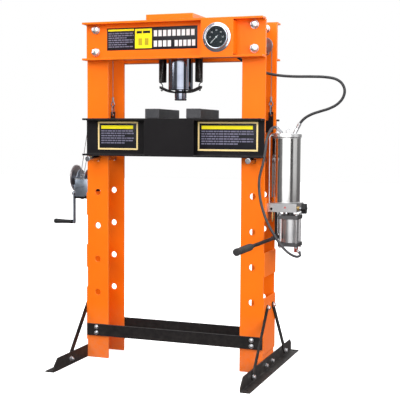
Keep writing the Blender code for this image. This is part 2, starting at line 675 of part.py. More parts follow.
def return_spring(side, name):
    x = side * SPRING_X
    per_turn = 8
    total = SPRING_TURNS * per_turn
    hook_z = BRACKET_BOTTOM + bracket_height(SPRING_X) - 0.012
    points = [(x + side * 0.008, 0, hook_z - 0.004), (x, 0, hook_z), (x, 0, SPRING_COIL_BOTTOM - 0.010),
              (x + SPRING_RADIUS * 0.5, 0, SPRING_COIL_BOTTOM - 0.004)]
    for i in range(total + 1):
        angle = 2 * math.pi * i / per_turn
        z = SPRING_COIL_BOTTOM + (SPRING_COIL_TOP - SPRING_COIL_BOTTOM) * i / total
        points.append((x + SPRING_RADIUS * math.cos(angle), SPRING_RADIUS * math.sin(angle), z))
    points += [(x + SPRING_RADIUS * 0.5, 0, SPRING_COIL_TOP + 0.004), (x, 0, SPRING_COIL_TOP + 0.010),
               (x, 0, GUIDE_PLATE_BOTTOM - GAP)]
    tube(name, points, SPRING_WIRE_RADIUS, SPRING_BLACK, resolution=0,
         origin=(x, 0, GUIDE_PLATE_BOTTOM - GAP))


# --- Gauge ---

def gauge():
    half = GAUGE_PANEL_WIDTH / 2
    front = -FLANGE_TIP - GAP
    back = front - GAUGE_PANEL_THICKNESS
    low, high = BEAM_BOTTOM, BEAM_TOP
    inside_low = low + CHANNEL_FLANGE_THICKNESS + GAP
    inside_high = high - CHANNEL_FLANGE_THICKNESS - GAP
    web = -(HALF_DEPTH + GAP + CHANNEL_WEB + GAP)
    panel = box("gauge_panel", (GAUGE_X - half, back, low), (GAUGE_X + half, front, high), ORANGE)
    for number, x in enumerate((GAUGE_X - half, GAUGE_X + half - GAUGE_PANEL_THICKNESS)):
        join(panel, box(f"panel_wall_{number}", (x, front - 0.001, inside_low + 0.006),
                        (x + GAUGE_PANEL_THICKNESS, web, inside_high - 0.006)))
    cut(panel, rod("gauge_opening", (GAUGE_X, back - 0.01, GAUGE_Z), (GAUGE_X, front + 0.01, GAUGE_Z),
                   GAUGE_CASE_RADIUS + 0.001, sides=40))
    centre = (GAUGE_X, back - GAP, GAUGE_Z)
    bezel, flange = GAUGE_BEZEL_HEIGHT, GAUGE_FLANGE_RADIUS
    inner = GAUGE_CASE_RADIUS - 0.002
    depth = GAUGE_CASE_DEPTH
    profile = [(inner, bezel), (GAUGE_CASE_RADIUS + 0.003, bezel), (GAUGE_CASE_RADIUS + 0.006, bezel - 0.004),
               (GAUGE_CASE_RADIUS + 0.008, 0.004), (flange, 0.003), (flange, 0),
               (GAUGE_CASE_RADIUS, 0), (GAUGE_CASE_RADIUS, -depth), (0, -depth), (0, -depth + 0.003),
               (inner, -depth + 0.003)]
    turned("gauge_case", profile, centre, (0, -1, 0), STEEL, steps=30, closed=True)
    dial_top = bezel - 0.006
    turned("gauge_dial", [(0.003, dial_top), (inner - GAP, dial_top), (inner - GAP, dial_top - 0.0015),
                          (0.003, dial_top - 0.0015)], centre, (0, -1, 0), DIAL_BLACK, steps=30,
           closed=True)
    needle_y = centre[1] - dial_top
    origin = (GAUGE_X, needle_y, GAUGE_Z)
    heading = math.radians(225)
    tip = (0.042 * math.sin(heading), 0.042 * math.cos(heading))
    tail = (-0.012 * math.sin(heading), -0.012 * math.cos(heading))
    outline = slot_outline(tip, tail, 0.0013, 3)
    outline = [(GAUGE_Z + b, GAUGE_X - a) for a, b in outline]
    outline = [(z, 2 * GAUGE_X - x) for z, x in outline]
    needle = extrusion("gauge_needle", outline, needle_y - 0.0018, needle_y - 0.0008, ALONG_Y,
                       NEEDLE_WHITE, origin=origin)
    join(needle, rod("needle_spindle", (GAUGE_X, needle_y - 0.003, GAUGE_Z),
                     (GAUGE_X, needle_y + 0.006, GAUGE_Z), 0.0022, sides=12))


def gauge_line():
    """The steel line from the gauge's back, through the web, to the top of the cylinder."""
    start_y = -(FLANGE_TIP + 2 * GAP + GAUGE_PANEL_THICKNESS - GAUGE_CASE_DEPTH) + 2 * GAP
    end_x = CYLINDER_RADIUS + 2 * GAP
    corner = 0.030
    line_y = -0.004
    points = [(GAUGE_X, start_y, GAUGE_Z), (GAUGE_X, line_y - corner, GAUGE_Z)]
    bend = arc((GAUGE_X - corner, line_y - corner), corner, 0, 90, 6)
    points += [(x, y, GAUGE_Z) for x, y in bend[1:]]
    points += [(end_x, line_y, GAUGE_Z)]
    tube("gauge_line", points, GAUGE_LINE_RADIUS, STEEL)


# --- Bed ---

def bed():
    face = HALF_DEPTH + SLIDE_GAP
    half = BED_PLATE_WIDTH / 2
    tip = face + CHANNEL_FLANGE
    low = BED_BOTTOM + CHANNEL_FLANGE_THICKNESS - 0.001
    high = BED_TOP - CHANNEL_FLANGE_THICKNESS + 0.001
    for side, name in ((-1, "bed_front_channel"), (1, "bed_rear_channel")):
        obj = channel(name, face, side, BED_BOTTOM, BLACK)
        near, far = sorted((side * (tip - BED_STIFFENER_THICKNESS), side * tip))
        join(obj, box(name + "_plate", (-half, near, low), (half, far, high)))
    lug_reach = 0.012
    sides = ((-1, "bed_left_tie_plate", LEFT_DROP_X, 0), (1, "bed_right_tie_plate", RIGHT_DROP_X, SECOND_ROPE_Y))
    for side, name, drop_x, drop_y in sides:
        near, far = sorted((side * (TIE_PLATE_X - TIE_PLATE_THICKNESS / 2),
                            side * (TIE_PLATE_X + TIE_PLATE_THICKNESS / 2)))
        obj = box(name, (near, -face + GAP, BED_BOTTOM + 0.012), (far, face - GAP, BED_TOP - 0.004), BLACK)
        arm_start = side * (TIE_PLATE_X + TIE_PLATE_THICKNESS / 2 - 0.002)
        arm_low, arm_high = sorted((arm_start, drop_x + side * lug_reach))
        thick = LUG_THICKNESS / 2
        join(obj, box(name + "_arm", (arm_low, drop_y - thick, BED_TOP - 0.070),
                      (arm_high, drop_y + thick, BED_TOP - 0.006)))
        join(obj, box(name + "_lug", (drop_x - lug_reach, drop_y - thick + 0.0005, BED_TOP - 0.020),
                      (drop_x + lug_reach, drop_y + thick - 0.0005, LUG_TOP)))
        cut(obj, rod(name + "_lug_hole", (drop_x, drop_y - 0.02, LUG_HOLE_Z),
                     (drop_x, drop_y + 0.02, LUG_HOLE_Z), LUG_HOLE_RADIUS, sides=16))


def press_plates():
    low, high = BED_TOP + GAP, BED_TOP + GAP + PRESS_PLATE_THICKNESS
    half = PRESS_PLATE_LENGTH / 2
    for side, name, inner in ((-1, "left_press_plate", LEFT_PLATE_INNER), (1, "right_press_plate", RIGHT_PLATE_INNER)):
        near, far = sorted((side * inner, side * (inner + PRESS_PLATE_WIDTH)))
        box(name, (near, PRESS_PLATE_Y - half, low), (far, PRESS_PLATE_Y + half, high), BLACK, bevel=0.002)


def support_pins():
    for side, name, front in ((-1, "left_support_pin", LEFT_PIN_FRONT),
                              (1, "right_support_pin", RIGHT_PIN_FRONT)):
        x = side * BAR_CENTRE_X
        rod(name, (x, front, TOP_HOLE_Z), (x, front + PIN_LENGTH, TOP_HOLE_Z), PIN_DIAMETER / 2, STEEL,
            origin=(x, 0, TOP_HOLE_Z), sides=32, bevel=0.003)


# --- Winch ---

def winch_bracket():
    face = -(SIDE_FACE + GAP)
    thick = 0.006
    half = SHELF_DEPTH / 2
    shelf_low = SHELF_TOP - SHELF_THICKNESS
    obj = box("winch_bracket", (face - thick, -half, WINCH_BACK_BOTTOM), (face, half, WINCH_BACK_TOP), BLACK)
    join(obj, box("winch_shelf", (-SHELF_REACH, -half, shelf_low), (face - thick + 0.002, half, SHELF_TOP)))
    root = face - thick + 0.001
    for number, y in enumerate((-half + 0.0005, half - 0.0055)):
        gusset = [(SHELF_TOP - 0.001, root), (WINCH_BACK_TOP - 0.010, root), (SHELF_TOP - 0.001, root - 0.022)]
        join(obj, extrusion(f"winch_gusset_{number}", gusset, y, y + 0.005, ALONG_Y))


def winch_frame():
    base_low = SHELF_TOP + GAP
    base_high = base_low + WINCH_WALL
    half = WINCH_DEPTH / 2
    outer_x = -SHELF_REACH
    obj = box("winch_frame", (outer_x, -half, base_low), (WINCH_INNER_X, half, base_high), ZINC)
    crown = 0.026
    outline = ([(-half, base_low), (half, base_low), (half, base_low + 0.040)]
               + arc((0, DRUM_Z), crown, 30, 150, 8) + [(-half, base_low + 0.075)])
    for number, x in enumerate((outer_x, WINCH_INNER_X - WINCH_WALL)):
        join(obj, extrusion(f"winch_side_{number}", outline, x, x + WINCH_WALL, ALONG_X))
    join(obj, box("winch_front_wall", (outer_x + 0.001, -half, base_low + 0.001),
                  (WINCH_INNER_X - 0.001, -half + WINCH_WALL, base_low + 0.074)))
    ends = (outer_x - 0.01, WINCH_INNER_X + 0.01)
    middle = (outer_x + WINCH_INNER_X) / 2
    cut(obj, rod("winch_outer_bearing", (ends[0], 0, DRUM_Z), (middle, 0, DRUM_Z), DRUM_TUBE_RADIUS + 0.0005),
        rod("winch_inner_bearing", (middle, 0, DRUM_Z), (ends[1], 0, DRUM_Z), DRUM_SHAFT_RADIUS + GAP, sides=16),
        rod("winch_pinion_bearing", (ends[0], 0, PINION_Z), (ends[1], 0, PINION_Z),
            PINION_SHAFT_RADIUS + GAP, sides=16))


def winch_drum():
    inner = WINCH_INNER_X - WINCH_WALL - 0.002
    outer = -SHELF_REACH + WINCH_WALL + 0.002
    gear_end = GEAR_X - GEAR_THICKNESS / 2
    length = inner - gear_end
    flange = 0.003
    bore = DRUM_SHAFT_RADIUS + GAP

    def height(x):
        return x - inner

    profile = [(bore, 0), (DRUM_FLANGE_RADIUS, 0), (DRUM_FLANGE_RADIUS, -flange),
               (DRUM_CORE_RADIUS, -flange), (DRUM_CORE_RADIUS, height(outer) + flange),
               (DRUM_FLANGE_RADIUS, height(outer) + flange), (DRUM_FLANGE_RADIUS, height(outer)),
               (DRUM_TUBE_RADIUS, height(outer)), (DRUM_TUBE_RADIUS, -length + 0.001),
               (bore, -length + 0.001)]
    obj = turned("winch_drum", profile, (inner, 0, DRUM_Z), (1, 0, 0), ZINC, steps=24, closed=True)
    phase = -90 + 180 / GEAR_TEETH
    outline = shifted(gear_outline(GEAR_TEETH, phase, 0.42), 0, DRUM_Z)
    gear = extrusion("winch_gear", outline, gear_end, gear_end + GEAR_THICKNESS, ALONG_X)
    join(obj, gear)
    cut(obj, rod("drum_bore", (gear_end - 0.01, 0, DRUM_Z), (inner + 0.01, 0, DRUM_Z), bore, sides=32))
    rod("winch_drum_shaft", (gear_end - 0.005, 0, DRUM_Z), (WINCH_INNER_X + 0.012, 0, DRUM_Z),
        DRUM_SHAFT_RADIUS, STEEL, origin=(inner, 0, DRUM_Z), bevel=0.001)


def winch_crank():
    outer_end = CRANK_X - CRANK_THICKNESS / 2 - 0.010
    origin = (CRANK_X, 0, PINION_Z)
    obj = rod("winch_pinion", (outer_end, 0, PINION_Z), (WINCH_INNER_X + 0.008, 0, PINION_Z),
              PINION_SHAFT_RADIUS, STEEL, origin=origin)
    outline = shifted(gear_outline(PINION_TEETH, 90, 0.36), 0, PINION_Z)
    half = GEAR_THICKNESS / 2 + 0.001
    join(obj, extrusion("pinion_teeth", outline, GEAR_X - half, GEAR_X + half, ALONG_X))
    low, high = CRANK_X - CRANK_THICKNESS / 2, CRANK_X + CRANK_THICKNESS / 2
    end_z = PINION_Z - CRANK_LENGTH
    arm = extrusion("winch_crank_arm", slot_outline((0, PINION_Z), (0, end_z), CRANK_WIDTH / 2), low, high,
                    ALONG_X, ZINC, origin=origin)
    spindle_end = GRIP_END_X + 0.008
    join(arm, rod("crank_spindle", (high - 0.001, 0, end_z), (spindle_end, 0, end_z), SPINDLE_RADIUS, sides=16))
    cut(arm, rod("crank_hub", (low - 0.01, 0, PINION_Z), (high + 0.01, 0, PINION_Z),
                 PINION_SHAFT_RADIUS + GAP, sides=24))
    bore = SPINDLE_RADIUS + GAP
    radius = GRIP_RADIUS
    profile = [(bore, GRIP_LENGTH), (radius - 0.004, GRIP_LENGTH), (radius - 0.0025, GRIP_LENGTH - 0.003),
               (radius - 0.003, GRIP_LENGTH * 0.55), (radius, 0.012), (radius - 0.002, 0.002),
               (radius - 0.004, 0), (0, 0), (0, 0.0075), (bore, 0.0075)]
    turned("crank_grip", profile, (GRIP_END_X, 0, end_z), (1, 0, 0), BLACK_PLASTIC, steps=24, closed=True)


# --- Pulleys, ropes and hooks ---

def sheave_profile(centre, top):
    """Half of a grooved wheel at a height along its axle, written from the top down."""
    half = PULLEY_WIDTH / 2
    bottom = ROPE_TRACK_RADIUS - ROPE_RADIUS - 2 * GAP
    points = [(PULLEY_RADIUS, centre + half), (PULLEY_RADIUS, centre + half - 0.002),
              (bottom, centre + ROPE_RADIUS), (bottom, centre - ROPE_RADIUS),
              (PULLEY_RADIUS, centre - half + 0.002), (PULLEY_RADIUS, centre - half)]
    return points if top is None else [(top, centre + half)] + points


def pulleys():
    bore = AXLE_RADIUS + GAP * 2
    hub = 0.015
    half = PULLEY_WIDTH / 2
    top = SECOND_ROPE_Y
    left = [(bore, top + half)] + sheave_profile(top, None) + [(hub, top - half), (hub, half)]
    left += sheave_profile(0, None) + [(bore, -half)]
    turned("left_pulley", left, (-PULLEY_X, 0, PULLEY_Z), (0, 1, 0), STEEL, steps=24, closed=True)
    right = [(bore, half)] + sheave_profile(0, None) + [(hub, -half), (hub, -half - 0.030),
                                                        (bore, -half - 0.030)]
    turned("right_pulley", right, (PULLEY_X, SECOND_ROPE_Y, PULLEY_Z), (0, 1, 0), STEEL, steps=24,
           closed=True)


def wrap(centre_x, y, first, last, steps=12):
    """Rope points round a pulley, angles in degrees."""
    return [(x, y, z) for x, z in arc((centre_x, PULLEY_Z), ROPE_TRACK_RADIUS, first, last, steps)]


def ropes():
    drum_y = -(DRUM_CORE_RADIUS + ROPE_RADIUS)
    outer = -SHELF_REACH + WINCH_WALL + 0.002 + 0.003
    start_a = (outer + 0.006, drum_y - GAP, DRUM_Z)
    start_b = (outer + 0.024, drum_y - GAP, DRUM_Z)
    left = [start_a] + wrap(-PULLEY_X, 0, 180, 0) + [(LEFT_DROP_X, 0, DROP_TOP_Z + GAP)]
    tube("left_rope", left, ROPE_RADIUS - GAP, STEEL, resolution=1)
    right = ([start_b] + wrap(-PULLEY_X, SECOND_ROPE_Y, 180, 90, 6) + wrap(PULLEY_X, SECOND_ROPE_Y, 90, 0, 6)
             + [(RIGHT_DROP_X, SECOND_ROPE_Y, DROP_TOP_Z + GAP)])
    tube("right_rope", right, ROPE_RADIUS - GAP, STEEL, resolution=1)
    for name, x, y in (("left_rope_drop", LEFT_DROP_X, 0), ("right_rope_drop", RIGHT_DROP_X, SECOND_ROPE_Y)):
        rod(name, (x, y, DROP_BOTTOM_Z + GAP), (x, y, DROP_TOP_Z), ROPE_RADIUS - GAP, STEEL,
            origin=(x, y, DROP_TOP_Z), sides=8)


def hook(name, x, y):
    """A shackle through the bed's lug whose bow carries the rope's thimble and ferrule."""
    half_width, low, high = 0.011, LUG_HOLE_Z + 0.0035 - 0.004, LUG_HOLE_Z + 0.046
    outline = arc((0, low + half_width), half_width, 180, 360, 8) + arc((0, high - half_width), half_width, 0, 180, 8)
    obj = tube(name, [(x, y + a, z) for a, z in outline], 0.0035, ZINC, cyclic=True, resolution=1,
               origin=(x, y, LUG_HOLE_Z))
    loop_low = high + 0.0005
    eye = arc((0, loop_low + 0.010), 0.010, 140, 400, 10)
    eye += [(0.004, DROP_BOTTOM_Z - 0.024), (-0.004, DROP_BOTTOM_Z - 0.024)]
    thimble = tube(name + "_thimble", [(x + a, y, z) for a, z in eye], 0.0032, None, cyclic=True, resolution=1)
    join(obj, thimble, rod(name + "_ferrule", (x, y, DROP_BOTTOM_Z - 0.027), (x, y, DROP_BOTTOM_Z), 0.0055,
                           sides=12))


# --- Pump ---

def pump_block():
    face = SIDE_FACE + GAP
    half = BLOCK_DEPTH / 2
    obj = box("pump_block", (face, -half, BLOCK_BOTTOM), (BLOCK_RIGHT, half, BLOCK_TOP), ALUMINIUM)
    barrel = 0.014
    join(obj, rod("pump_barrel", (LEVER_X, PLUNGER_Y, BLOCK_BOTTOM - 0.015),
                  (LEVER_X, PLUNGER_Y, BLOCK_BOTTOM + 0.004), barrel))
    cut(obj, rod("pump_bore", (LEVER_X, PLUNGER_Y, BLOCK_BOTTOM - 0.06), (LEVER_X, PLUNGER_Y, BLOCK_TOP - 0.008),
                 PLUNGER_RADIUS + GAP),
        rod("knob_seat", (BLOCK_RIGHT - 0.030, KNOB_Y, KNOB_Z), (BLOCK_RIGHT + 0.01, KNOB_Y, KNOB_Z),
            KNOB_STEM_RADIUS + GAP))


def lever_bracket():
    half = 0.004
    low = LEVER_Z - 0.012
    obj = box("lever_bracket", (LEVER_X - half, FULCRUM_Y - 0.009, low),
              (LEVER_X + half, FULCRUM_Y + 0.009, BLOCK_BOTTOM - GAP), BLACK, bevel=0.001)
    cut(obj, rod("fulcrum_hole", (LEVER_X - 0.02, FULCRUM_Y, LEVER_Z), (LEVER_X + 0.02, FULCRUM_Y, LEVER_Z),
                 PIVOT_RADIUS + GAP * 2, sides=16))


def plunger():
    half = 0.004
    slot_half = 0.0050
    swing = 0.0080
    head_top = LEVER_Z + 0.020
    obj = rod("pump_plunger", (LEVER_X, PLUNGER_Y, head_top - 0.002),
              (LEVER_X, PLUNGER_Y, BLOCK_BOTTOM + 0.008), PLUNGER_RADIUS, STEEL,
              origin=(LEVER_X, PLUNGER_Y, LEVER_Z))
    join(obj, box("plunger_head", (LEVER_X - half, PLUNGER_Y - 0.0165, LEVER_Z - 0.009),
                  (LEVER_X + half, PLUNGER_Y + 0.010, head_top)))
    slot = slot_outline((PLUNGER_Y - swing, LEVER_Z), (PLUNGER_Y + 0.0005, LEVER_Z), slot_half)
    cut(obj, extrusion("plunger_slot", slot, LEVER_X - 0.02, LEVER_X + 0.02, ALONG_X))


def pump_lever():
    cheek_inner, cheek_outer = 0.0045, 0.0105
    back, front = PLUNGER_Y + 0.009, FULCRUM_Y - 0.050
    origin = (LEVER_X, FULCRUM_Y, LEVER_Z)
    outline = slot_outline((back, LEVER_Z), (front, LEVER_Z), 0.009)
    obj = extrusion("pump_lever", outline, LEVER_X + cheek_inner, LEVER_X + cheek_outer, ALONG_X, BLACK,
                    origin=origin)
    join(obj, extrusion("lever_cheek", outline, LEVER_X - cheek_outer, LEVER_X - cheek_inner, ALONG_X),
         box("lever_bridge", (LEVER_X - cheek_outer + 0.001, front - 0.006, LEVER_Z - 0.008),
             (LEVER_X + cheek_outer - 0.001, front + 0.016, LEVER_Z + 0.008)),
         rod("fulcrum_pin", (LEVER_X - 0.013, FULCRUM_Y, LEVER_Z), (LEVER_X + 0.013, FULCRUM_Y, LEVER_Z),
             PIVOT_RADIUS, sides=16),
         rod("plunger_pin", (LEVER_X - 0.013, PLUNGER_Y, LEVER_Z), (LEVER_X + 0.013, PLUNGER_Y, LEVER_Z),
             PIVOT_RADIUS, sides=16),
         rod("lever_rod", (LEVER_X, front, LEVER_Z), (LEVER_X, LEVER_END_Y, LEVER_Z), LEVER_ROD_RADIUS))
    length = LEVER_GRIP_START_Y - LEVER_GRIP_END_Y
    bore = LEVER_ROD_RADIUS + GAP
    blind = LEVER_END_Y - LEVER_GRIP_END_Y - GAP
    radius = LEVER_GRIP_RADIUS
    profile = [(bore, length), (radius - 0.005, length), (radius - 0.0035, length - 0.004),
               (radius - 0.002, length * 0.5), (radius, 0.020), (radius, 0.004), (radius - 0.004, 0),
               (0, 0), (0, blind), (bore, blind)]
    turned("lever_grip", profile, (LEVER_X, LEVER_GRIP_END_Y, LEVER_Z), (0, 1, 0), BLACK_PLASTIC, steps=24,
           closed=True)


def oil_tank():
    inner = TANK_RADIUS - TANK_WALL
    low = BLOCK_TOP + GAP
    turned("oil_tank", [(inner, TANK_TOP), (TANK_RADIUS, TANK_TOP), (TANK_RADIUS, low), (inner, low)],
           (TANK_X, 0, 0), (0, 0, 1), ALUMINIUM, steps=36, closed=True)
    base = TANK_TOP + GAP
    top = base + CAP_THICKNESS
    cap = turned("tank_cap", [(0, top), (CAP_RADIUS - 0.003, top), (CAP_RADIUS, top - 0.003),
                              (CAP_RADIUS, base), (0, base)], (TANK_X, 0, 0), (0, 0, 1), ALUMINIUM, steps=30)
    tank_head = Vector((TANK_X, 0, TANK_TOP))
    oil_end = tank_head + Vector(OIL_FITTING_PLACE)
    oil_lean = (Vector(OIL_HOSE_ROUTE[1]) - Vector(OIL_HOSE_ROUTE[0])).normalized()
    air_end = tank_head + Vector(AIR_FITTING_PLACE)
    air_lean = (Vector(AIR_HOSE_ROUTE[1]) - Vector(AIR_HOSE_ROUTE[0])).normalized()
    join(cap, rod("oil_fitting", oil_end - oil_lean * 0.034, oil_end - oil_lean * GAP, 0.0095, sides=16),
         rod("air_fitting", air_end - air_lean * 0.020, air_end - air_lean * 0.0012, 0.0075, sides=16),
         rod("air_fitting_base", (air_end - air_lean * 0.018) - Vector((0, 0, 0.018)),
             air_end - air_lean * 0.016, 0.0085, sides=16))


def release_knob():
    x = BLOCK_RIGHT + KNOB_STEM_LENGTH
    origin = (BLOCK_RIGHT, KNOB_Y, KNOB_Z)
    lobes = 6
    points = []
    for i in range(lobes * 6):
        angle = 2 * math.pi * i / (lobes * 6)
        radius = KNOB_RADIUS - 0.0035 + 0.0035 * math.cos(lobes * angle)
        points.append((KNOB_Y + radius * math.cos(angle), KNOB_Z + radius * math.sin(angle)))
    obj = extrusion("release_knob", points, x, x + KNOB_THICKNESS, ALONG_X, BLACK_PLASTIC, origin=origin)
    join(obj, rod("release_stem", (BLOCK_RIGHT - 0.024, KNOB_Y, KNOB_Z), (x + 0.002, KNOB_Y, KNOB_Z),
                  KNOB_STEM_RADIUS, sides=16))


def air_motor():
    half = MOTOR_SIDE / 2
    inset = half - 0.009
    obj = box("air_motor", (MOTOR_X - half, -half, MOTOR_BOTTOM),
              (MOTOR_X + half, half, MOTOR_BOTTOM + MOTOR_PLATE), ALUMINIUM)
    join(obj, box("motor_top_plate", (MOTOR_X - half, -half, MOTOR_TOP - MOTOR_PLATE), (MOTOR_X + half, half, MOTOR_TOP)),
         rod("motor_body", (MOTOR_X, 0, MOTOR_BOTTOM + 0.002), (MOTOR_X, 0, MOTOR_TOP - 0.002),
             MOTOR_BODY_RADIUS, sides=32),
         rod("motor_neck", (MOTOR_X, 0, MOTOR_TOP - 0.004), (MOTOR_X, 0, BLOCK_BOTTOM - GAP), 0.017))
    for number in range(4):
        x = MOTOR_X + inset * (-1 if number % 2 else 1)
        y = inset * (-1 if number // 2 else 1)
        join(obj, rod(f"motor_tie_{number}", (x, y, MOTOR_BOTTOM + 0.002), (x, y, MOTOR_TOP - 0.002), 0.005,
                      sides=12))
    end = Vector(AIR_HOSE_ROUTE[-1])
    lean = (Vector(AIR_HOSE_ROUTE[-2]) - end).normalized()
    start = end - lean * 0.034
    join(obj, rod("swivel_body", (start.x, start.y, end.z - 0.011), (start.x, start.y, MOTOR_BOTTOM + 0.004), 0.011,
                  sides=16),
         rod("swivel_nipple", start, end - lean * GAP, 0.0075, sides=16))


def hoses():
    tube("hydraulic_hose", smooth_route(OIL_HOSE_ROUTE, 46), OIL_HOSE_RADIUS, HOSE_RUBBER)
    tube("air_hose", smooth_route(AIR_HOSE_ROUTE, 40), AIR_HOSE_RADIUS, HOSE_RUBBER)


for column_side, column_prefix in ((-1, "left"), (1, "right")):
    column(column_side, column_prefix)
    foot(column_side, column_prefix)
    strut(column_side, -1, column_prefix + "_front_strut")
    strut(column_side, 1, column_prefix + "_rear_strut")
    return_spring(column_side, column_prefix + "_return_spring")
beam()
cross_plates()
cylinder()
ram()
spring_bracket()
gauge()
gauge_line()
bed()
press_plates()
support_pins()
winch_bracket()
winch_frame()
winch_drum()
winch_crank()
pulleys()
ropes()
hook("left_hook", LEFT_DROP_X, 0)
hook("right_hook", RIGHT_DROP_X, SECOND_ROPE_Y)
pump_block()
lever_bracket()
plunger()
pump_lever()
oil_tank()
release_knob()
air_motor()
hoses()
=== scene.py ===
"""Workshop press: the finished look of the hydraulic shop press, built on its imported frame.

Metres, +Z up, floor at z = 0. The winch is on the -X side, and the gauge faces -Y.
"""
import json
import math

import bpy
from mathutils import Matrix, Vector

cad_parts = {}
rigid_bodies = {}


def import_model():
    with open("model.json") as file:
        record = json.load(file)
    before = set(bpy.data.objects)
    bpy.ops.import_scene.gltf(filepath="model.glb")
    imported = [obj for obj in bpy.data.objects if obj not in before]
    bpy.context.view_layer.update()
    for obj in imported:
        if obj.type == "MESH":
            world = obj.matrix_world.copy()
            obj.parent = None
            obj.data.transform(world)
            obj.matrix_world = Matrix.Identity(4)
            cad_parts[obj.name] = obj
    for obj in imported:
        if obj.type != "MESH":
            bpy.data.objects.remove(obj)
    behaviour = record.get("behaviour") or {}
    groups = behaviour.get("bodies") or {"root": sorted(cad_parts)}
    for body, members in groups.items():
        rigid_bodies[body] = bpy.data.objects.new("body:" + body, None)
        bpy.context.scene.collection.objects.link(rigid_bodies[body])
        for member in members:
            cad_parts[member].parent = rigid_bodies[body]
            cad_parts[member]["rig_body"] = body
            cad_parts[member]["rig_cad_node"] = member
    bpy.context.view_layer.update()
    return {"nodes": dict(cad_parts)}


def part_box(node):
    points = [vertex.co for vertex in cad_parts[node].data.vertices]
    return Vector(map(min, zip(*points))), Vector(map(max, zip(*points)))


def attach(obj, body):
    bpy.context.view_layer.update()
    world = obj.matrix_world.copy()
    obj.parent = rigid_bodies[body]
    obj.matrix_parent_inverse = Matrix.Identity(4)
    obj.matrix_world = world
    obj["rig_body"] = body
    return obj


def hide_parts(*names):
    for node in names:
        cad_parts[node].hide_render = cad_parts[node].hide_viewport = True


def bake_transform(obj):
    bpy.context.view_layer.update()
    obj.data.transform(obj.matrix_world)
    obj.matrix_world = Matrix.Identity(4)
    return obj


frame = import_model()

# The press's own middle, taken from its two columns
left_column_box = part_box("left_column")
right_column_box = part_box("right_column")
MIDDLE = Vector(((left_column_box[0][0] + right_column_box[1][0]) / 2,
                 (left_column_box[0][1] + left_column_box[1][1]) / 2, 0))


UP = (0, 0, 1)


def at(x, y, z):
    """A point given from the middle of the press."""
    return MIDDLE + Vector((x, y, z))


def ends_of(node):
    """The heights where a CAD piece starts and ends."""
    low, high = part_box(node)
    return low[2], high[2]


# --- Camera, light and floor ---

def set_up_camera():
    yaw, pitch, roll = math.radians(20.2078), math.radians(4.0571), math.radians(0.3863)
    ahead = Vector((-math.sin(yaw) * math.cos(pitch), math.cos(yaw) * math.cos(pitch), -math.sin(pitch)))
    side = Vector((math.cos(yaw), math.sin(yaw), 0))
    over = side.cross(ahead)
    across = side * math.cos(roll) + over * math.sin(roll)
    upright = over * math.cos(roll) - side * math.sin(roll)
    data = bpy.data.cameras.new("camera")
    data.sensor_width = 36
    data.lens = 83.09
    data.clip_end = 60
    camera = bpy.data.objects.new("camera", data)
    turn = Matrix((across, upright, -ahead)).transposed().to_4x4()
    camera.matrix_world = Matrix.Translation(at(1.8183, -4.6288, 1.2313)) @ turn
    bpy.context.scene.collection.objects.link(camera)
    bpy.context.scene.camera = camera


def softbox(name, place, target, width, height, power):
    data = bpy.data.lights.new(name, "AREA")
    data.shape = "RECTANGLE"
    data.size = width
    data.size_y = height
    data.energy = power
    light = bpy.data.objects.new(name, data)
    light.location = place
    light.rotation_euler = (Vector(target) - Vector(place)).to_track_quat("-Z", "Y").to_euler()
    bpy.context.scene.collection.objects.link(light)
    return light


# Shade of the room round the press, from -180 to 180 degrees: bright in front and to the left
ROOM = ((0.0, 0.14), (0.12, 0.17), (0.205, 0.22), (0.222, 2.1), (0.3, 2.7), (0.378, 2.2), (0.392, 0.07),
        (0.445, 0.07), (0.458, 0.9), (0.55, 0.8), (0.575, 0.18), (0.7, 0.3), (0.88, 0.24), (1.0, 0.14))
FLOOR_SHADE = (0.96, 0.96, 0.965)


def camera_ray(tree):
    return tree.nodes.new("ShaderNodeLightPath").outputs["Is Camera Ray"]


def set_up_room():
    """A room that shows in the metal, and plain white behind the press."""
    world = bpy.data.worlds.new("studio")
    bpy.context.scene.world = world
    world.use_nodes = True
    tree = world.node_tree
    where = tree.nodes.new("ShaderNodeTexCoord")
    parts = linked(tree, "ShaderNodeSeparateXYZ", Vector=where.outputs["Generated"]).outputs
    around = worked_out(tree, "ARCTAN2", parts["Y"], parts["X"])
    ramp = linked(tree, "ShaderNodeValToRGB", Fac=remap(tree, around, -math.pi, math.pi))
    stops = ramp.color_ramp.elements
    for stop, (place, shade) in zip(stops, (ROOM[0], ROOM[-1])):
        stop.position = place
        stop.color = (shade,) * 3 + (1,)
    for place, shade in ROOM[1:-1]:
        stops.new(place).color = (shade,) * 3 + (1,)
    sky = blended(tree, remap(tree, parts["Z"], 0.15, 0.75), ramp.outputs["Color"], (0.9, 0.9, 0.92))
    seen = blended(tree, camera_ray(tree), sky, (1, 1, 1))
    wire(tree, tree.nodes["Background"], Color=seen, Strength=1.0)


def set_up_floor():
    """A floor that is pale to the eye and dark to the press above it."""
    floor = added(bpy.ops.mesh.primitive_plane_add, size=30, location=(0, 4, -0.0005))
    floor.name = "floor"
    pale, tree, shader, _ = new_finish("pale_floor")
    wire(tree, shader, Base_Color=blended(tree, camera_ray(tree), (0.16, 0.15, 0.15), FLOOR_SHADE), Roughness=0.9,
         Specular_IOR_Level=0.1, Emission_Color=camera_ray(tree), Emission_Strength=0.72)
    floor.data.materials.append(pale)


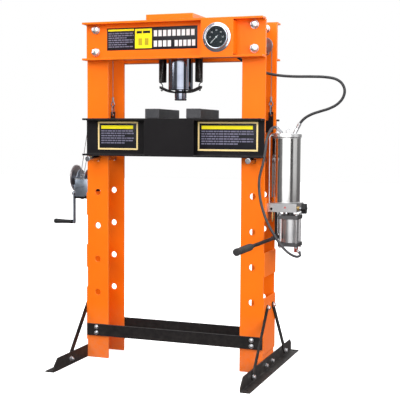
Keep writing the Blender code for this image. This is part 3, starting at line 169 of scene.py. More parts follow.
def set_up_studio():
    set_up_room()
    softbox("key_light", at(-0.35, -4.9, 3.6), at(0, 0, 1.0), 2.8, 2.2, 86)
    softbox("left_light", at(-3.6, -2.6, 3.0), at(0, 0, 0.9), 1.6, 2.4, 40)
    softbox("top_light", at(0, -0.5, 4.6), at(0, 0, 0), 4.0, 4.0, 66)
    right_light = softbox("right_light", at(4.2, -1.9, 1.9), at(0, 0, 1.0), 2.4, 2.4, 118)
    right_light.visible_glossy = False
    softbox("back_light", at(0.9, 4.7, 3.3), at(0, 0, 0.9), 3.0, 2.4, 60)
    bpy.context.scene.view_settings.view_transform = "Standard"
    set_up_floor()


# --- Shared effects ---

def effect(name, inputs, outputs):
    tree = bpy.data.node_groups.new(name, "ShaderNodeTree")
    for label, kind, value in inputs:
        socket = tree.interface.new_socket(name=label, in_out="INPUT", socket_type="NodeSocket" + kind)
        if value is not None:
            socket.default_value = value
    for label, kind in outputs:
        tree.interface.new_socket(name=label, in_out="OUTPUT", socket_type="NodeSocket" + kind)
    return tree, tree.nodes.new("NodeGroupInput").outputs, tree.nodes.new("NodeGroupOutput")


def feed(tree, socket, value):
    """Link a socket to another one, or give it a value or a colour."""
    if isinstance(value, bpy.types.NodeSocket):
        tree.links.new(value, socket)
    elif socket.type == "RGBA":
        socket.default_value = (*value[:3], 1)
    else:
        socket.default_value = value


def wire(tree, node, **given):
    """Feed a node's sockets by name, with _ for each space."""
    for label, value in given.items():
        feed(tree, node.inputs[label.replace("_", " ")], value)
    return node


def linked(tree, kind, **given):
    return wire(tree, tree.nodes.new(kind), **given)


def remap(tree, value, low, high, to_low=0.0, to_high=1.0):
    return linked(tree, "ShaderNodeMapRange", Value=value, From_Min=low, From_Max=high, To_Min=to_low,
                  To_Max=to_high).outputs["Result"]


def blended(tree, factor, first, second):
    node = tree.nodes.new("ShaderNodeMix")
    node.data_type = "RGBA"
    return wire(tree, node, Factor=factor, A=first, B=second).outputs["Result"]


def worked_out(tree, operation, *values):
    node = tree.nodes.new("ShaderNodeMath")
    node.operation = operation
    for socket, value in zip(node.inputs, values):
        feed(tree, socket, value)
    return node.outputs[0]


def product(tree, first, second):
    return worked_out(tree, "MULTIPLY", first, second)


def noise(tree, place, size, detail, roughness):
    return linked(tree, "ShaderNodeTexNoise", Vector=place, Scale=size, Detail=detail,
                  Roughness=roughness).outputs["Fac"]


def bumped(tree, height, depth):
    return linked(tree, "ShaderNodeBump", Strength=1.0, Distance=depth, Height=height).outputs["Normal"]


def make_cloudy():
    """Slow changes of shade and gloss over a surface."""
    tree, given, result = effect("cloudy_surface", (
        ("Place", "Vector", None), ("Size", "Float", 5.0), ("Shade One", "Color", None),
        ("Shade Two", "Color", None), ("Smooth", "Float", 0.3), ("Rough", "Float", 0.4)),
        (("Color", "Color"), ("Roughness", "Float")))
    slow = noise(tree, given["Place"], given["Size"], 5.0, 0.6)
    quick = noise(tree, given["Place"], product(tree, given["Size"], 9.0), 4.0, 0.65)
    colour = blended(tree, remap(tree, slow, 0.32, 0.68), given["Shade One"], given["Shade Two"])
    gloss = remap(tree, quick, 0.3, 0.7, given["Smooth"], given["Rough"])
    wire(tree, result, Color=colour, Roughness=gloss)
    return tree


def make_relief():
    """A fine bumpy skin."""
    tree, given, result = effect("fine_relief", (
        ("Place", "Vector", None), ("Size", "Float", 300.0), ("Depth", "Float", 0.0002)),
        (("Normal", "Vector"),))
    grain = noise(tree, given["Place"], given["Size"], 3.0, 0.55)
    wire(tree, result, Normal=bumped(tree, grain, given["Depth"]))
    return tree


def make_brushed():
    """Fine lines drawn along one direction, from a stretched noise."""
    tree, given, result = effect("brushed_lines", (
        ("Place", "Vector", None), ("Stretch", "Vector", (1.0, 1.0, 1.0)), ("Size", "Float", 400.0),
        ("Smooth", "Float", 0.15), ("Rough", "Float", 0.3), ("Depth", "Float", 0.00005)),
        (("Roughness", "Float"), ("Normal", "Vector")))
    drawn = tree.nodes.new("ShaderNodeVectorMath")
    drawn.operation = "MULTIPLY"
    feed(tree, drawn.inputs[0], given["Place"])
    feed(tree, drawn.inputs[1], given["Stretch"])
    lines = noise(tree, drawn.outputs[0], given["Size"], 4.0, 0.7)
    wire(tree, result, Roughness=remap(tree, lines, 0.3, 0.7, given["Smooth"], given["Rough"]),
         Normal=bumped(tree, lines, given["Depth"]))
    return tree


def make_floor_dust():
    """A mask of dust that thins out with height above the floor."""
    tree, given, result = effect("floor_dust", (
        ("Place", "Vector", None), ("Top", "Float", 0.25), ("Amount", "Float", 0.3)),
        (("Mask", "Float"),))
    parts = linked(tree, "ShaderNodeSeparateXYZ", Vector=given["Place"])
    low = remap(tree, parts.outputs["Z"], 0.0, given["Top"], 1.0, 0.0)
    patchy = remap(tree, noise(tree, given["Place"], 34.0, 6.0, 0.7), 0.35, 0.7, 0.2, 1.0)
    wire(tree, result, Mask=product(tree, product(tree, low, patchy), given["Amount"]))
    return tree


def make_rub_and_highlight():
    """Noise patches on an edge, lighter there: partly wear and partly painted edge highlight."""
    tree, given, result = effect("rub_and_highlight_edge", (
        ("Place", "Vector", None), ("Size", "Float", 60.0), ("Amount", "Float", 0.5)),
        (("Mask", "Float"),))
    chips = noise(tree, given["Place"], given["Size"], 7.0, 0.75)
    wire(tree, result, Mask=remap(tree, chips, 0.5, 0.66, 0.0, given["Amount"]))
    return tree


def make_strands():
    """Strands laid round a rope or hose whose map runs round it in U and along it in V."""
    tree, given, result = effect("laid_strands", (
        ("Map", "Vector", None), ("Strands", "Float", 6.0), ("Turns", "Float", 40.0), ("Depth", "Float", 0.0003)),
        (("Height", "Float"), ("Normal", "Vector")))
    parts = linked(tree, "ShaderNodeSeparateXYZ", Vector=given["Map"])
    along = product(tree, parts.outputs["Y"], given["Turns"])
    round_it = product(tree, parts.outputs["X"], given["Strands"])
    lean = worked_out(tree, "ADD", round_it, along)
    wave = worked_out(tree, "SINE", product(tree, lean, 2 * math.pi))
    height = remap(tree, wave, -1.0, 1.0)
    wire(tree, result, Height=height, Normal=bumped(tree, height, given["Depth"]))
    return tree


CLOUDY = make_cloudy()
RELIEF = make_relief()
BRUSHED = make_brushed()
FLOOR_DUST = make_floor_dust()
RUB_AND_HIGHLIGHT = make_rub_and_highlight()
STRANDS = make_strands()


def laid(tree, group, **given):
    node = tree.nodes.new("ShaderNodeGroup")
    node.node_tree = group
    return wire(tree, node, **given).outputs


def new_finish(name):
    made = bpy.data.materials.new(name)
    made.use_nodes = True
    tree = made.node_tree
    shader = tree.nodes["Principled BSDF"]
    where = tree.nodes.new("ShaderNodeTexCoord")
    return made, tree, shader, where


DUST = (0.42, 0.37, 0.31)


def paint(name, shade_one, shade_two, smooth, rough, sheen, rub_and_highlight=None, dust=0.25):
    """Sprayed paint: a slight orange-peel skin, clouded gloss, dust low down and, when given, lighter edge patches
    that are partly wear and partly painted highlight.
    """
    made, tree, shader, where = new_finish(name)
    place = where.outputs["Object"]
    cloud = laid(tree, CLOUDY, Place=place, Size=3.5, Shade_One=shade_one, Shade_Two=shade_two,
                 Smooth=smooth, Rough=rough)
    colour = cloud["Color"]
    # Lighter patches on the edges: partly wear and partly painted edge highlight.
    if rub_and_highlight:
        rub_and_highlight_mask = laid(tree, RUB_AND_HIGHLIGHT, Place=place, Size=48.0, Amount=0.6)
        colour = blended(tree, rub_and_highlight_mask["Mask"], colour, rub_and_highlight)
    dusty = laid(tree, FLOOR_DUST, Place=place, Top=0.3, Amount=dust)
    colour = blended(tree, dusty["Mask"], colour, DUST)
    skin = laid(tree, RELIEF, Place=place, Size=420.0, Depth=0.00012)
    wire(tree, shader, Base_Color=colour, Roughness=cloud["Roughness"], Normal=skin["Normal"],
         Specular_IOR_Level=sheen, Coat_Weight=0.03, Coat_Roughness=0.12)
    return made


def bare_metal(name, shade_one, shade_two, smooth, rough, stretch, size=420.0, depth=0.00003):
    """Machined, drawn or plated metal with fine lines along the way it was worked."""
    made, tree, shader, where = new_finish(name)
    place = where.outputs["Object"]
    cloud = laid(tree, CLOUDY, Place=place, Size=14.0, Shade_One=shade_one, Shade_Two=shade_two,
                 Smooth=smooth, Rough=rough)
    lines = laid(tree, BRUSHED, Place=place, Stretch=stretch, Size=size, Smooth=smooth, Rough=rough,
                 Depth=depth)
    wire(tree, shader, Base_Color=cloud["Color"], Roughness=lines["Roughness"], Normal=lines["Normal"],
         Metallic=1.0)
    return made


def moulded(name, shade_one, shade_two, smooth, rough, size=600.0, depth=0.0001):
    """Moulded rubber or plastic with a fine texture from its tool."""
    made, tree, shader, where = new_finish(name)
    place = where.outputs["Object"]
    cloud = laid(tree, CLOUDY, Place=place, Size=18.0, Shade_One=shade_one, Shade_Two=shade_two,
                 Smooth=smooth, Rough=rough)
    skin = laid(tree, RELIEF, Place=place, Size=size, Depth=depth)
    wire(tree, shader, Base_Color=cloud["Color"], Roughness=cloud["Roughness"], Normal=skin["Normal"],
         Specular_IOR_Level=0.18)
    return made


def stranded(name, shade_one, shade_two, smooth, rough, metallic, strands, turns, depth):
    """Rope or covered hose, patterned along its own map, with painted shade in the grooves between strands."""
    made, tree, shader, where = new_finish(name)
    cloud = laid(tree, CLOUDY, Place=where.outputs["Object"], Size=20.0, Shade_One=shade_one,
                 Shade_Two=shade_two, Smooth=smooth, Rough=rough)
    wound = laid(tree, STRANDS, Map=where.outputs["UV"], Strands=strands, Turns=turns, Depth=depth)
    # Darker in the grooves between strands: painted shade.
    strand_groove_shade = tree.nodes.new("ShaderNodeVectorMath")
    strand_groove_shade.operation = "SCALE"
    feed(tree, strand_groove_shade.inputs[0], cloud["Color"])
    wire(tree, strand_groove_shade, Scale=remap(tree, wound["Height"], 0.0, 0.5, 0.75, 1.0))
    wire(tree, shader, Base_Color=strand_groove_shade.outputs[0], Roughness=cloud["Roughness"], Normal=wound["Normal"],
         Metallic=metallic)
    return made


def clear_glass(name):
    made, tree, shader, where = new_finish(name)
    smear = laid(tree, CLOUDY, Place=where.outputs["Object"], Size=30.0, Shade_One=(0.97, 0.98, 1.0),
                 Shade_Two=(0.93, 0.96, 0.98), Smooth=0.01, Rough=0.04)
    wire(tree, shader, Base_Color=smear["Color"], Roughness=smear["Roughness"], Transmission_Weight=1.0, IOR=1.2)
    return made


ORANGE = paint("orange_paint", (0.98, 0.185, 0.006), (0.94, 0.165, 0.005), 0.3, 0.42, 0.16)
# The edge copy goes on the rounded edges only: its lighter shades are a painted edge highlight.
ORANGE_LIT_EDGE = paint("orange_paint_lit_edges", (1.0, 0.26, 0.03), (0.96, 0.22, 0.016), 0.3, 0.42, 0.2,
                    rub_and_highlight=(0.95, 0.5, 0.22))
BLACK = paint("black_paint", (0.0085, 0.0075, 0.0085), (0.012, 0.011, 0.012), 0.36, 0.5, 0.12, dust=0.08)
# A lighter copy of the black for the rounded edges: painted edge highlight.
BLACK_LIT_EDGE = paint("black_paint_lit_edges", (0.03, 0.028, 0.03), (0.022, 0.021, 0.022), 0.34, 0.5, 0.25,
                   rub_and_highlight=(0.16, 0.155, 0.15), dust=0.08)
PLATE_STEEL = bare_metal("blackened_plate", (0.075, 0.076, 0.082), (0.1, 0.1, 0.106), 0.42, 0.6,
                         (1.0, 30.0, 1.0), size=60.0, depth=0.0001)
# A much lighter copy for the rounded edges of the press plates: painted edge highlight.
PLATE_LIT_EDGE = bare_metal("blackened_plate_lit_edges", (0.22, 0.22, 0.23), (0.14, 0.14, 0.15), 0.3, 0.5,
                        (1.0, 1.0, 1.0), size=80.0)
DARK_CHROME = bare_metal("dark_chrome", (0.3, 0.32, 0.38), (0.24, 0.26, 0.32), 0.07, 0.13,
                         (1.0, 1.0, 30.0), size=60.0, depth=0.00001)
GROUND_STEEL = bare_metal("ground_steel", (0.56, 0.57, 0.6), (0.48, 0.49, 0.52), 0.16, 0.3,
                          (1.0, 1.0, 30.0), size=70.0)
TANK_METAL = bare_metal("polished_tank", (0.74, 0.73, 0.72), (0.66, 0.66, 0.65), 0.12, 0.2,
                        (40.0, 40.0, 1.0), size=9.0, depth=0.00002)
CAP_METAL = bare_metal("turned_cap", (0.9, 0.9, 0.9), (0.84, 0.84, 0.84), 0.28, 0.42, (1.0, 1.0, 20.0),
                       size=60.0)
ALUMINIUM = bare_metal("milled_aluminium", (0.74, 0.74, 0.74), (0.62, 0.62, 0.63), 0.24, 0.4,
                       (20.0, 1.0, 20.0), size=20.0)
GREY_PLATE = bare_metal("grey_end_plate", (0.17, 0.17, 0.175), (0.13, 0.13, 0.135), 0.38, 0.55,
                        (1.0, 1.0, 12.0), size=60.0)
ZINC = bare_metal("bright_zinc", (0.42, 0.47, 0.54), (0.26, 0.31, 0.38), 0.26, 0.46, (1.0, 1.0, 4.0), size=35.0,
                  depth=0.00006)
ZINC_BOLT = bare_metal("bolt_zinc", (0.78, 0.79, 0.8), (0.66, 0.67, 0.7), 0.2, 0.34, (1.0, 1.0, 6.0),
                       size=160.0)
GEAR_STEEL = bare_metal("gear_steel", (0.5, 0.46, 0.47), (0.34, 0.31, 0.32), 0.3, 0.48, (1.0, 8.0, 8.0),
                        size=40.0)
SPRING_STEEL = bare_metal("oiled_spring_steel", (0.028, 0.027, 0.026), (0.045, 0.042, 0.04), 0.3, 0.45,
                          (1.0, 1.0, 1.0), size=90.0)
CHROME = bare_metal("bezel_chrome", (0.62, 0.66, 0.72), (0.56, 0.6, 0.67), 0.06, 0.14, (1.0, 8.0, 1.0), size=40.0,
                    depth=0.00001)
BRASS = bare_metal("brass", (0.68, 0.48, 0.2), (0.58, 0.38, 0.14), 0.22, 0.38, (1.0, 1.0, 8.0), size=80.0)
RED_METAL = bare_metal("red_anodised", (0.62, 0.16, 0.13), (0.5, 0.11, 0.1), 0.25, 0.4, (1.0, 1.0, 8.0),
                       size=80.0)
BLACK_PLASTIC = moulded("black_plastic", (0.014, 0.014, 0.015), (0.022, 0.022, 0.023), 0.35, 0.5)
GRIP_RUBBER = moulded("grip_rubber", (0.03, 0.03, 0.031), (0.048, 0.047, 0.047), 0.5, 0.7, size=900.0)
DIAL_BLACK = moulded("dial_black", (0.012, 0.018, 0.022), (0.018, 0.026, 0.03), 0.4, 0.5, depth=0.00001)
DIAL_WHITE = moulded("dial_white", (0.85, 0.87, 0.86), (0.78, 0.8, 0.78), 0.4, 0.5, depth=0.00001)
LABEL_BLACK = moulded("label_black", (0.01, 0.01, 0.014), (0.014, 0.014, 0.019), 0.28, 0.4, depth=0.00001)
LABEL_YELLOW = moulded("label_yellow", (0.98, 0.86, 0.02), (0.92, 0.78, 0.015), 0.3, 0.4, depth=0.00001)
LABEL_PALE = moulded("label_pale_yellow", (0.95, 0.74, 0.34), (0.9, 0.68, 0.3), 0.3, 0.4, depth=0.00001)
LABEL_WHITE = moulded("label_white", (0.86, 0.86, 0.86), (0.78, 0.78, 0.79), 0.3, 0.4, depth=0.00001)
LABEL_GREY = moulded("label_grey", (0.2, 0.19, 0.27), (0.15, 0.145, 0.21), 0.3, 0.4, depth=0.00001)
LABEL_DARK = moulded("label_dark_yellow", (0.5, 0.4, 0.02), (0.42, 0.33, 0.02), 0.3, 0.4, depth=0.00001)
RED_MARK = moulded("red_mark", (0.75, 0.05, 0.04), (0.62, 0.04, 0.03), 0.3, 0.4, depth=0.00001)
HOSE = stranded("hose_cover", (0.03, 0.031, 0.034), (0.02, 0.02, 0.022), 0.36, 0.5, 0.0, 2.0, 160.0, 0.0003)
AIR_LINE = stranded("air_line", (0.06, 0.06, 0.066), (0.042, 0.042, 0.046), 0.3, 0.44, 0.0, 1.0, 220.0, 0.0002)
WIRE_ROPE = stranded("wire_rope", (0.5, 0.5, 0.52), (0.38, 0.38, 0.4), 0.28, 0.42, 1.0, 6.0, 70.0, 0.0006)
GLASS = clear_glass("gauge_glass")


# --- Tools of the trade ---

def added(operator, **given):
    """A new plain shape, as the one thing picked out."""
    bpy.ops.object.select_all(action="DESELECT")
    operator(**given)
    return bpy.context.active_object


def only(obj):
    bpy.ops.object.select_all(action="DESELECT")
    obj.select_set(True)
    bpy.context.view_layer.objects.active = obj


def apply_modifier(obj, modifier):
    only(obj)
    bpy.ops.object.modifier_apply(modifier=modifier.name)


def thin_bar(place, sizes):
    """A plain bar of the given sizes, set down by a turn and a shift."""
    bar = added(bpy.ops.mesh.primitive_cube_add, size=1)
    fix_place(bar, place @ Matrix.Diagonal((*sizes, 1)))
    return bar


def round_edges(obj, width, segments=2, angle=32, edge_slot=None):
    bevel = obj.modifiers.new("rounded_edges", "BEVEL")
    bevel.width = width
    bevel.segments = segments
    bevel.limit_method = "ANGLE"
    bevel.angle_limit = math.radians(angle)
    bevel.use_clamp_overlap = True
    if edge_slot is not None:
        bevel.material = edge_slot
    apply_modifier(obj, bevel)


def smooth(obj, angle=38):
    only(obj)
    bpy.ops.object.shade_smooth_by_angle(angle=math.radians(angle))


def true_flats(obj):
    """Keep flat faces flat where rounded edges meet them."""
    weighted = obj.modifiers.new("true_flats", "WEIGHTED_NORMAL")
    weighted.mode = "FACE_AREA"
    weighted.weight = 100
    weighted.keep_sharp = True
    apply_modifier(obj, weighted)


def settle(obj, name, finish, body="frame", stands_for=(), angle=38):
    """Name a piece, give it its finish, and let it move with its body."""
    obj.name = name
    obj.data.name = name
    if finish is not None:
        obj.data.materials.clear()
        obj.data.materials.append(finish)
    smooth(obj, angle)
    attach(obj, body)
    if stands_for:
        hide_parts(*stands_for)
    return obj


def fix_place(obj, turn):
    """Put the object's place into its mesh and leave the object at the origin."""
    obj.data.transform(turn)
    obj.matrix_world = Matrix.Identity(4)


def axis_turn(foot, axis):
    return Matrix.Translation(Vector(foot)) @ Vector(axis).to_track_quat("Z", "Y").to_matrix().to_4x4()


def block(name, low, high, finish, body="frame", edge=0.0008):
    low, high = Vector(low), Vector(high)
    obj = added(bpy.ops.mesh.primitive_cube_add, size=1, location=(low + high) / 2)
    obj.scale = high - low
    bpy.ops.object.transform_apply(location=True, rotation=True, scale=True)
    round_edges(obj, edge)
    return settle(obj, name, finish, body)


def ringed(rings, foot, axis, sides, hollow=False):
    """A round shape drawn up ring by ring; rings are (radius, height) along the axis from its foot."""
    obj = added(bpy.ops.mesh.primitive_circle_add, vertices=sides, radius=rings[0][0],
                fill_type="NOTHING" if hollow else "NGON")
    bpy.ops.object.mode_set(mode="EDIT")
    bpy.ops.mesh.select_all(action="SELECT")
    bpy.ops.transform.translate(value=(0, 0, rings[0][1]))
    for (radius, height), (next_radius, next_height) in zip(rings, rings[1:]):
        bpy.ops.mesh.extrude_region_move(TRANSFORM_OT_translate={"value": (0, 0, next_height - height)})
        share = next_radius / radius
        bpy.ops.transform.resize(value=(share, share, 1), center_override=(0, 0, next_height))
    bpy.ops.mesh.select_all(action="SELECT")
    bpy.ops.mesh.remove_doubles(threshold=0.000004)
    bpy.ops.mesh.normals_make_consistent(inside=False)
    bpy.ops.object.mode_set(mode="OBJECT")
    fix_place(obj, axis_turn(foot, axis))
    return obj


def turned(name, rings, foot, axis, finish, body="frame", sides=64, hollow=False, edge=0.0, stands_for=(),
           angle=38):
    obj = ringed(rings + rings[:1] if hollow else rings, foot, axis, sides, hollow)
    if edge:
        round_edges(obj, edge, 2, 30)
    return settle(obj, name, finish, body, stands_for, angle)


def turned_from(node, name, rings, finish, axis=UP, **more):
    """A turned piece that stands for a CAD node, on the node's own body."""
    body = frame["nodes"][node]["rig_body"]
    return turned(name, rings, MIDDLE, axis, finish, body, stands_for=(node,), **more)


def refined(node, finish, edge=0.0012, edge_finish=None, segments=2, angle=32, smooth_angle=38):
    """A CAD node's shape with its facets merged and its edges rounded, standing for the node."""
    source = frame["nodes"][node]
    obj = source.copy()
    obj.data = source.data.copy()
    del obj["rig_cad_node"]
    obj.parent = None
    obj.matrix_world = Matrix.Identity(4)
    bpy.context.scene.collection.objects.link(obj)
    only(obj)
    bpy.ops.object.mode_set(mode="EDIT")
    bpy.ops.mesh.select_all(action="SELECT")
    bpy.ops.mesh.remove_doubles(threshold=0.00001)
    bpy.ops.mesh.dissolve_limited(angle_limit=math.radians(0.6))
    bpy.ops.object.mode_set(mode="OBJECT")
    obj.data.materials.clear()
    obj.data.materials.append(finish)
    # The rounded edges take the second slot; where a lighter edge copy is given, it is a painted edge highlight.
    obj.data.materials.append(edge_finish or finish)
    for polygon in obj.data.polygons:
        polygon.material_index = 0
    if edge:
        round_edges(obj, edge, segments, angle, 1)
    settle(obj, node + "_finished", None, source["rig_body"], (node,), smooth_angle)
    true_flats(obj)
    return obj


def repaint(obj, finish, test):
    """Give a finish to the faces whose middle passes a test, in the press's own coordinates."""
    obj.data.materials.append(finish)
    slot = len(obj.data.materials) - 1
    for polygon in obj.data.polygons:
        if test(polygon.center - MIDDLE):
            polygon.material_index = slot


def swept(name, points, radius, finish, body="frame", sides=12, closed=False, radii=None, stands_for=()):
    """A round bar along a path, with a map that runs round it in U and along it, in metres, in V."""
    points = [Vector(p) for p in points]
    count = len(points)
    verts, faces, maps = [], [], []
    before = None
    across = None
    gone = 0.0
    lengths = []
    for i, point in enumerate(points):
        if closed:
            ahead = points[(i + 1) % count] - points[i - 1]
        else:
            ahead = points[min(i + 1, count - 1)] - points[max(i - 1, 0)]
        ahead.normalize()
        if across is None:
            across = ahead.orthogonal().normalized()
        else:
            across = before.rotation_difference(ahead) @ across
            across = (across - ahead * across.dot(ahead)).normalized()
        before = ahead
        other = ahead.cross(across)
        here = radii[i] if radii else radius
        if i:
            gone += (point - points[i - 1]).length
        lengths.append(gone)
        for k in range(sides):
            angle = 2 * math.pi * k / sides
            verts.append(point + (across * math.cos(angle) + other * math.sin(angle)) * here)
    rows = count if closed else count - 1
    for i in range(rows):
        j = (i + 1) % count
        for k in range(sides):
            m = (k + 1) % sides
            faces.append((i * sides + k, i * sides + m, j * sides + m, j * sides + k))
            u, v = k / sides, (k + 1) / sides
            top = lengths[j] if j else gone
            maps.append(((u, lengths[i]), (v, lengths[i]), (v, top), (u, top)))
    if not closed:
        faces.append(tuple(reversed(range(sides))))
        maps.append(tuple((0.5, 0.0) for _ in range(sides)))
        faces.append(tuple((count - 1) * sides + k for k in range(sides)))
        maps.append(tuple((0.5, gone) for _ in range(sides)))
    mesh = bpy.data.meshes.new(name)
    mesh.from_pydata(verts, [], faces)
    layer = mesh.uv_layers.new(name="along")
    spot = 0
    for corners in maps:
        for corner in corners:
            layer.data[spot].uv = corner
            spot += 1
    obj = bpy.data.objects.new(name, mesh)
    bpy.context.scene.collection.objects.link(obj)
    if body:
        return settle(obj, name, finish, body, stands_for, 60)
    mesh.materials.append(finish)
    smooth(obj, 60)
    return obj


def joined(name, pieces):
    bpy.ops.object.select_all(action="DESELECT")
    for piece in pieces:
        piece.select_set(True)
    bpy.context.view_layer.objects.active = pieces[0]
    if len(pieces) > 1:
        bpy.ops.object.join()
    pieces[0].name = name
    pieces[0].data.name = name
    return pieces[0]


def smooth_route(points, count):
    """Points of a Catmull-Rom curve through a route, evenly spread over the route's own points."""
    route = [Vector(p) for p in points]
    route = [route[0] * 2 - route[1]] + route + [route[-1] * 2 - route[-2]]
    spans = len(points) - 1
    result = []
    for i in range(count + 1):
        along = min(i * spans / count, spans - 1e-9)
        k = int(along)
        t = along - k
        a, b, c, d = route[k:k + 4]
        result.append(0.5 * (2 * b + (c - a) * t + (2 * a - 5 * b + 4 * c - d) * t * t
                             + (3 * b - a - 3 * c + d) * t ** 3))
    return result


# --- Hoses: they come first, because they cross everything else ---

OIL_HOSE_RADIUS = 0.007
AIR_HOSE_RADIUS = 0.0068
OIL_HOSE_ROUTE = (
    (0.6447, 0.0, 1.2667), (0.66, 0.0, 1.295), (0.685, 0.0, 1.32),
    (0.72, 0.0, 1.339), (0.763, 0.0, 1.353), (0.808, 0.0, 1.367),
    (0.848, 0.0, 1.388), (0.876, 0.0, 1.419), (0.885, 0.0, 1.457),
    (0.87, 0.0, 1.493), (0.835, 0.0, 1.516), (0.779, 0.0, 1.526),
    (0.712, 0.0, 1.529), (0.619, 0.0, 1.531), (0.538, -0.01, 1.538),
    (0.47, -0.035, 1.553), (0.415, -0.06, 1.58), (0.36, -0.078, 1.618),
    (0.305, -0.083, 1.658), (0.25, -0.083, 1.69), (0.195, -0.083, 1.719),
    (0.145, -0.083, 1.739), (0.1, -0.083, 1.745), (0.061, -0.083, 1.745),
)
AIR_HOSE_ROUTE = (
    (0.5615, -0.0466, 1.256), (0.553, -0.061, 1.267), (0.543, -0.079, 1.27),
    (0.532, -0.098, 1.26), (0.524, -0.115, 1.236), (0.518, -0.13, 1.2),
    (0.515, -0.14, 1.15), (0.506, -0.146, 1.088), (0.488, -0.148, 1.011),
    (0.49, -0.148, 0.933), (0.507, -0.148, 0.856), (0.535, -0.148, 0.786),
    (0.574, -0.15, 0.722), (0.612, -0.152, 0.672), (0.65, -0.15, 0.638),
    (0.682, -0.134, 0.622), (0.694, -0.107, 0.626), (0.685, -0.082, 0.637),
    (0.67, -0.056, 0.641),
)


def ferrule(name, end, lean, radius, length, finish):
    """A crimped sleeve over a hose end."""
    rings = [(radius * 0.98, 0.0)]
    for i in range(5):
        start = length * (0.08 + i * 0.17)
        rings += [(radius * 1.36, start), (radius * 1.36, start + length * 0.09),
                  (radius * 1.24, start + length * 0.12), (radius * 1.24, start + length * 0.15)]
    rings += [(radius * 1.3, length * 0.96), (radius * 1.06, length)]
    return turned(name, rings, end, lean, finish, sides=32, edge=0.0002)


def make_hoses():
    runs = (("hydraulic_hose", OIL_HOSE_ROUTE, OIL_HOSE_RADIUS, HOSE, 260, ("rear", "gauge_side"), "stiff"),
            ("air_hose", AIR_HOSE_ROUTE, AIR_HOSE_RADIUS, AIR_LINE, 220, ("cap", "motor"), "medium"))
    for node, route, radius, finish, count, ends, stiffness in runs:
        path = [MIDDLE + p for p in smooth_route(route, count)]
        obj = swept(node + "_finished", path, radius, finish, sides=16, stands_for=(node,))
        sleeves = [ferrule(f"{node}_sleeve_{ends[0]}", path[0], path[4] - path[0], radius, 0.03, ZINC_BOLT),
                   ferrule(f"{node}_sleeve_{ends[1]}", path[-1], path[-5] - path[-1], radius, 0.03, ZINC_BOLT)]


# --- Fasteners ---

def hexagon(flats, depth, base, edge, turn=0.0):
    middle = (0, 0, base + depth / 2)
    obj = added(bpy.ops.mesh.primitive_cylinder_add, vertices=6, radius=flats / math.sqrt(3), depth=depth,
                location=middle)
    bpy.ops.object.mode_set(mode="EDIT")
    bpy.ops.mesh.select_all(action="SELECT")
    bpy.ops.transform.rotate(value=turn, orient_axis="Z", center_override=(0, 0, 0))
    bpy.ops.object.mode_set(mode="OBJECT")
    fix_place(obj, Matrix.Translation(middle))
    round_edges(obj, edge)
    return obj


def plain_washer(radius, thick):
    return ringed([(radius, 0.0), (radius, thick * 0.8), (radius * 0.97, thick)], (0, 0, 0), UP, 32)


def bolt(name, place, outward, body="frame", flats=0.019, head=0.01, washer=0.014, washer_thick=0.0025, turn=0.0):
    """A hexagon head with a chamfered crown on a plain washer."""
    flat_head = hexagon(flats, head, washer_thick, head * 0.14, turn)
    rise = washer_thick + head
    crown = ringed([(flats * 0.42, washer_thick + head * 0.9), (flats * 0.46, rise),
                    (flats * 0.4, washer_thick + head * 1.06)], (0, 0, 0), UP, 24)
    obj = joined(name, [flat_head, crown, plain_washer(washer, washer_thick)])
    fix_place(obj, axis_turn(place, outward))
    return settle(obj, name, ZINC_BOLT, body, (), 30)


def threaded_end(name, place, outward, body="frame", flats=0.019, nut=0.012, stud=0.006, washer=0.014):
    """A nut on the end of a bolt, with the thread standing out of it."""
    thick = 0.002
    flat_nut = hexagon(flats, nut, thick, nut * 0.12)
    thread = flats * 0.31
    rings = [(thread, thick + nut * 0.9)]
    height = thick + nut
    while height < thick + nut + stud:
        rings += [(thread, height), (thread * 0.88, height + 0.0008)]
        height += 0.0016
    rings.append((thread * 0.8, height))
    stem = ringed(rings, (0, 0, 0), UP, 20)
    obj = joined(name, [flat_nut, stem, plain_washer(washer, thick)])
    fix_place(obj, axis_turn(place, outward))
    return settle(obj, name, ZINC_BOLT, body, (), 30)


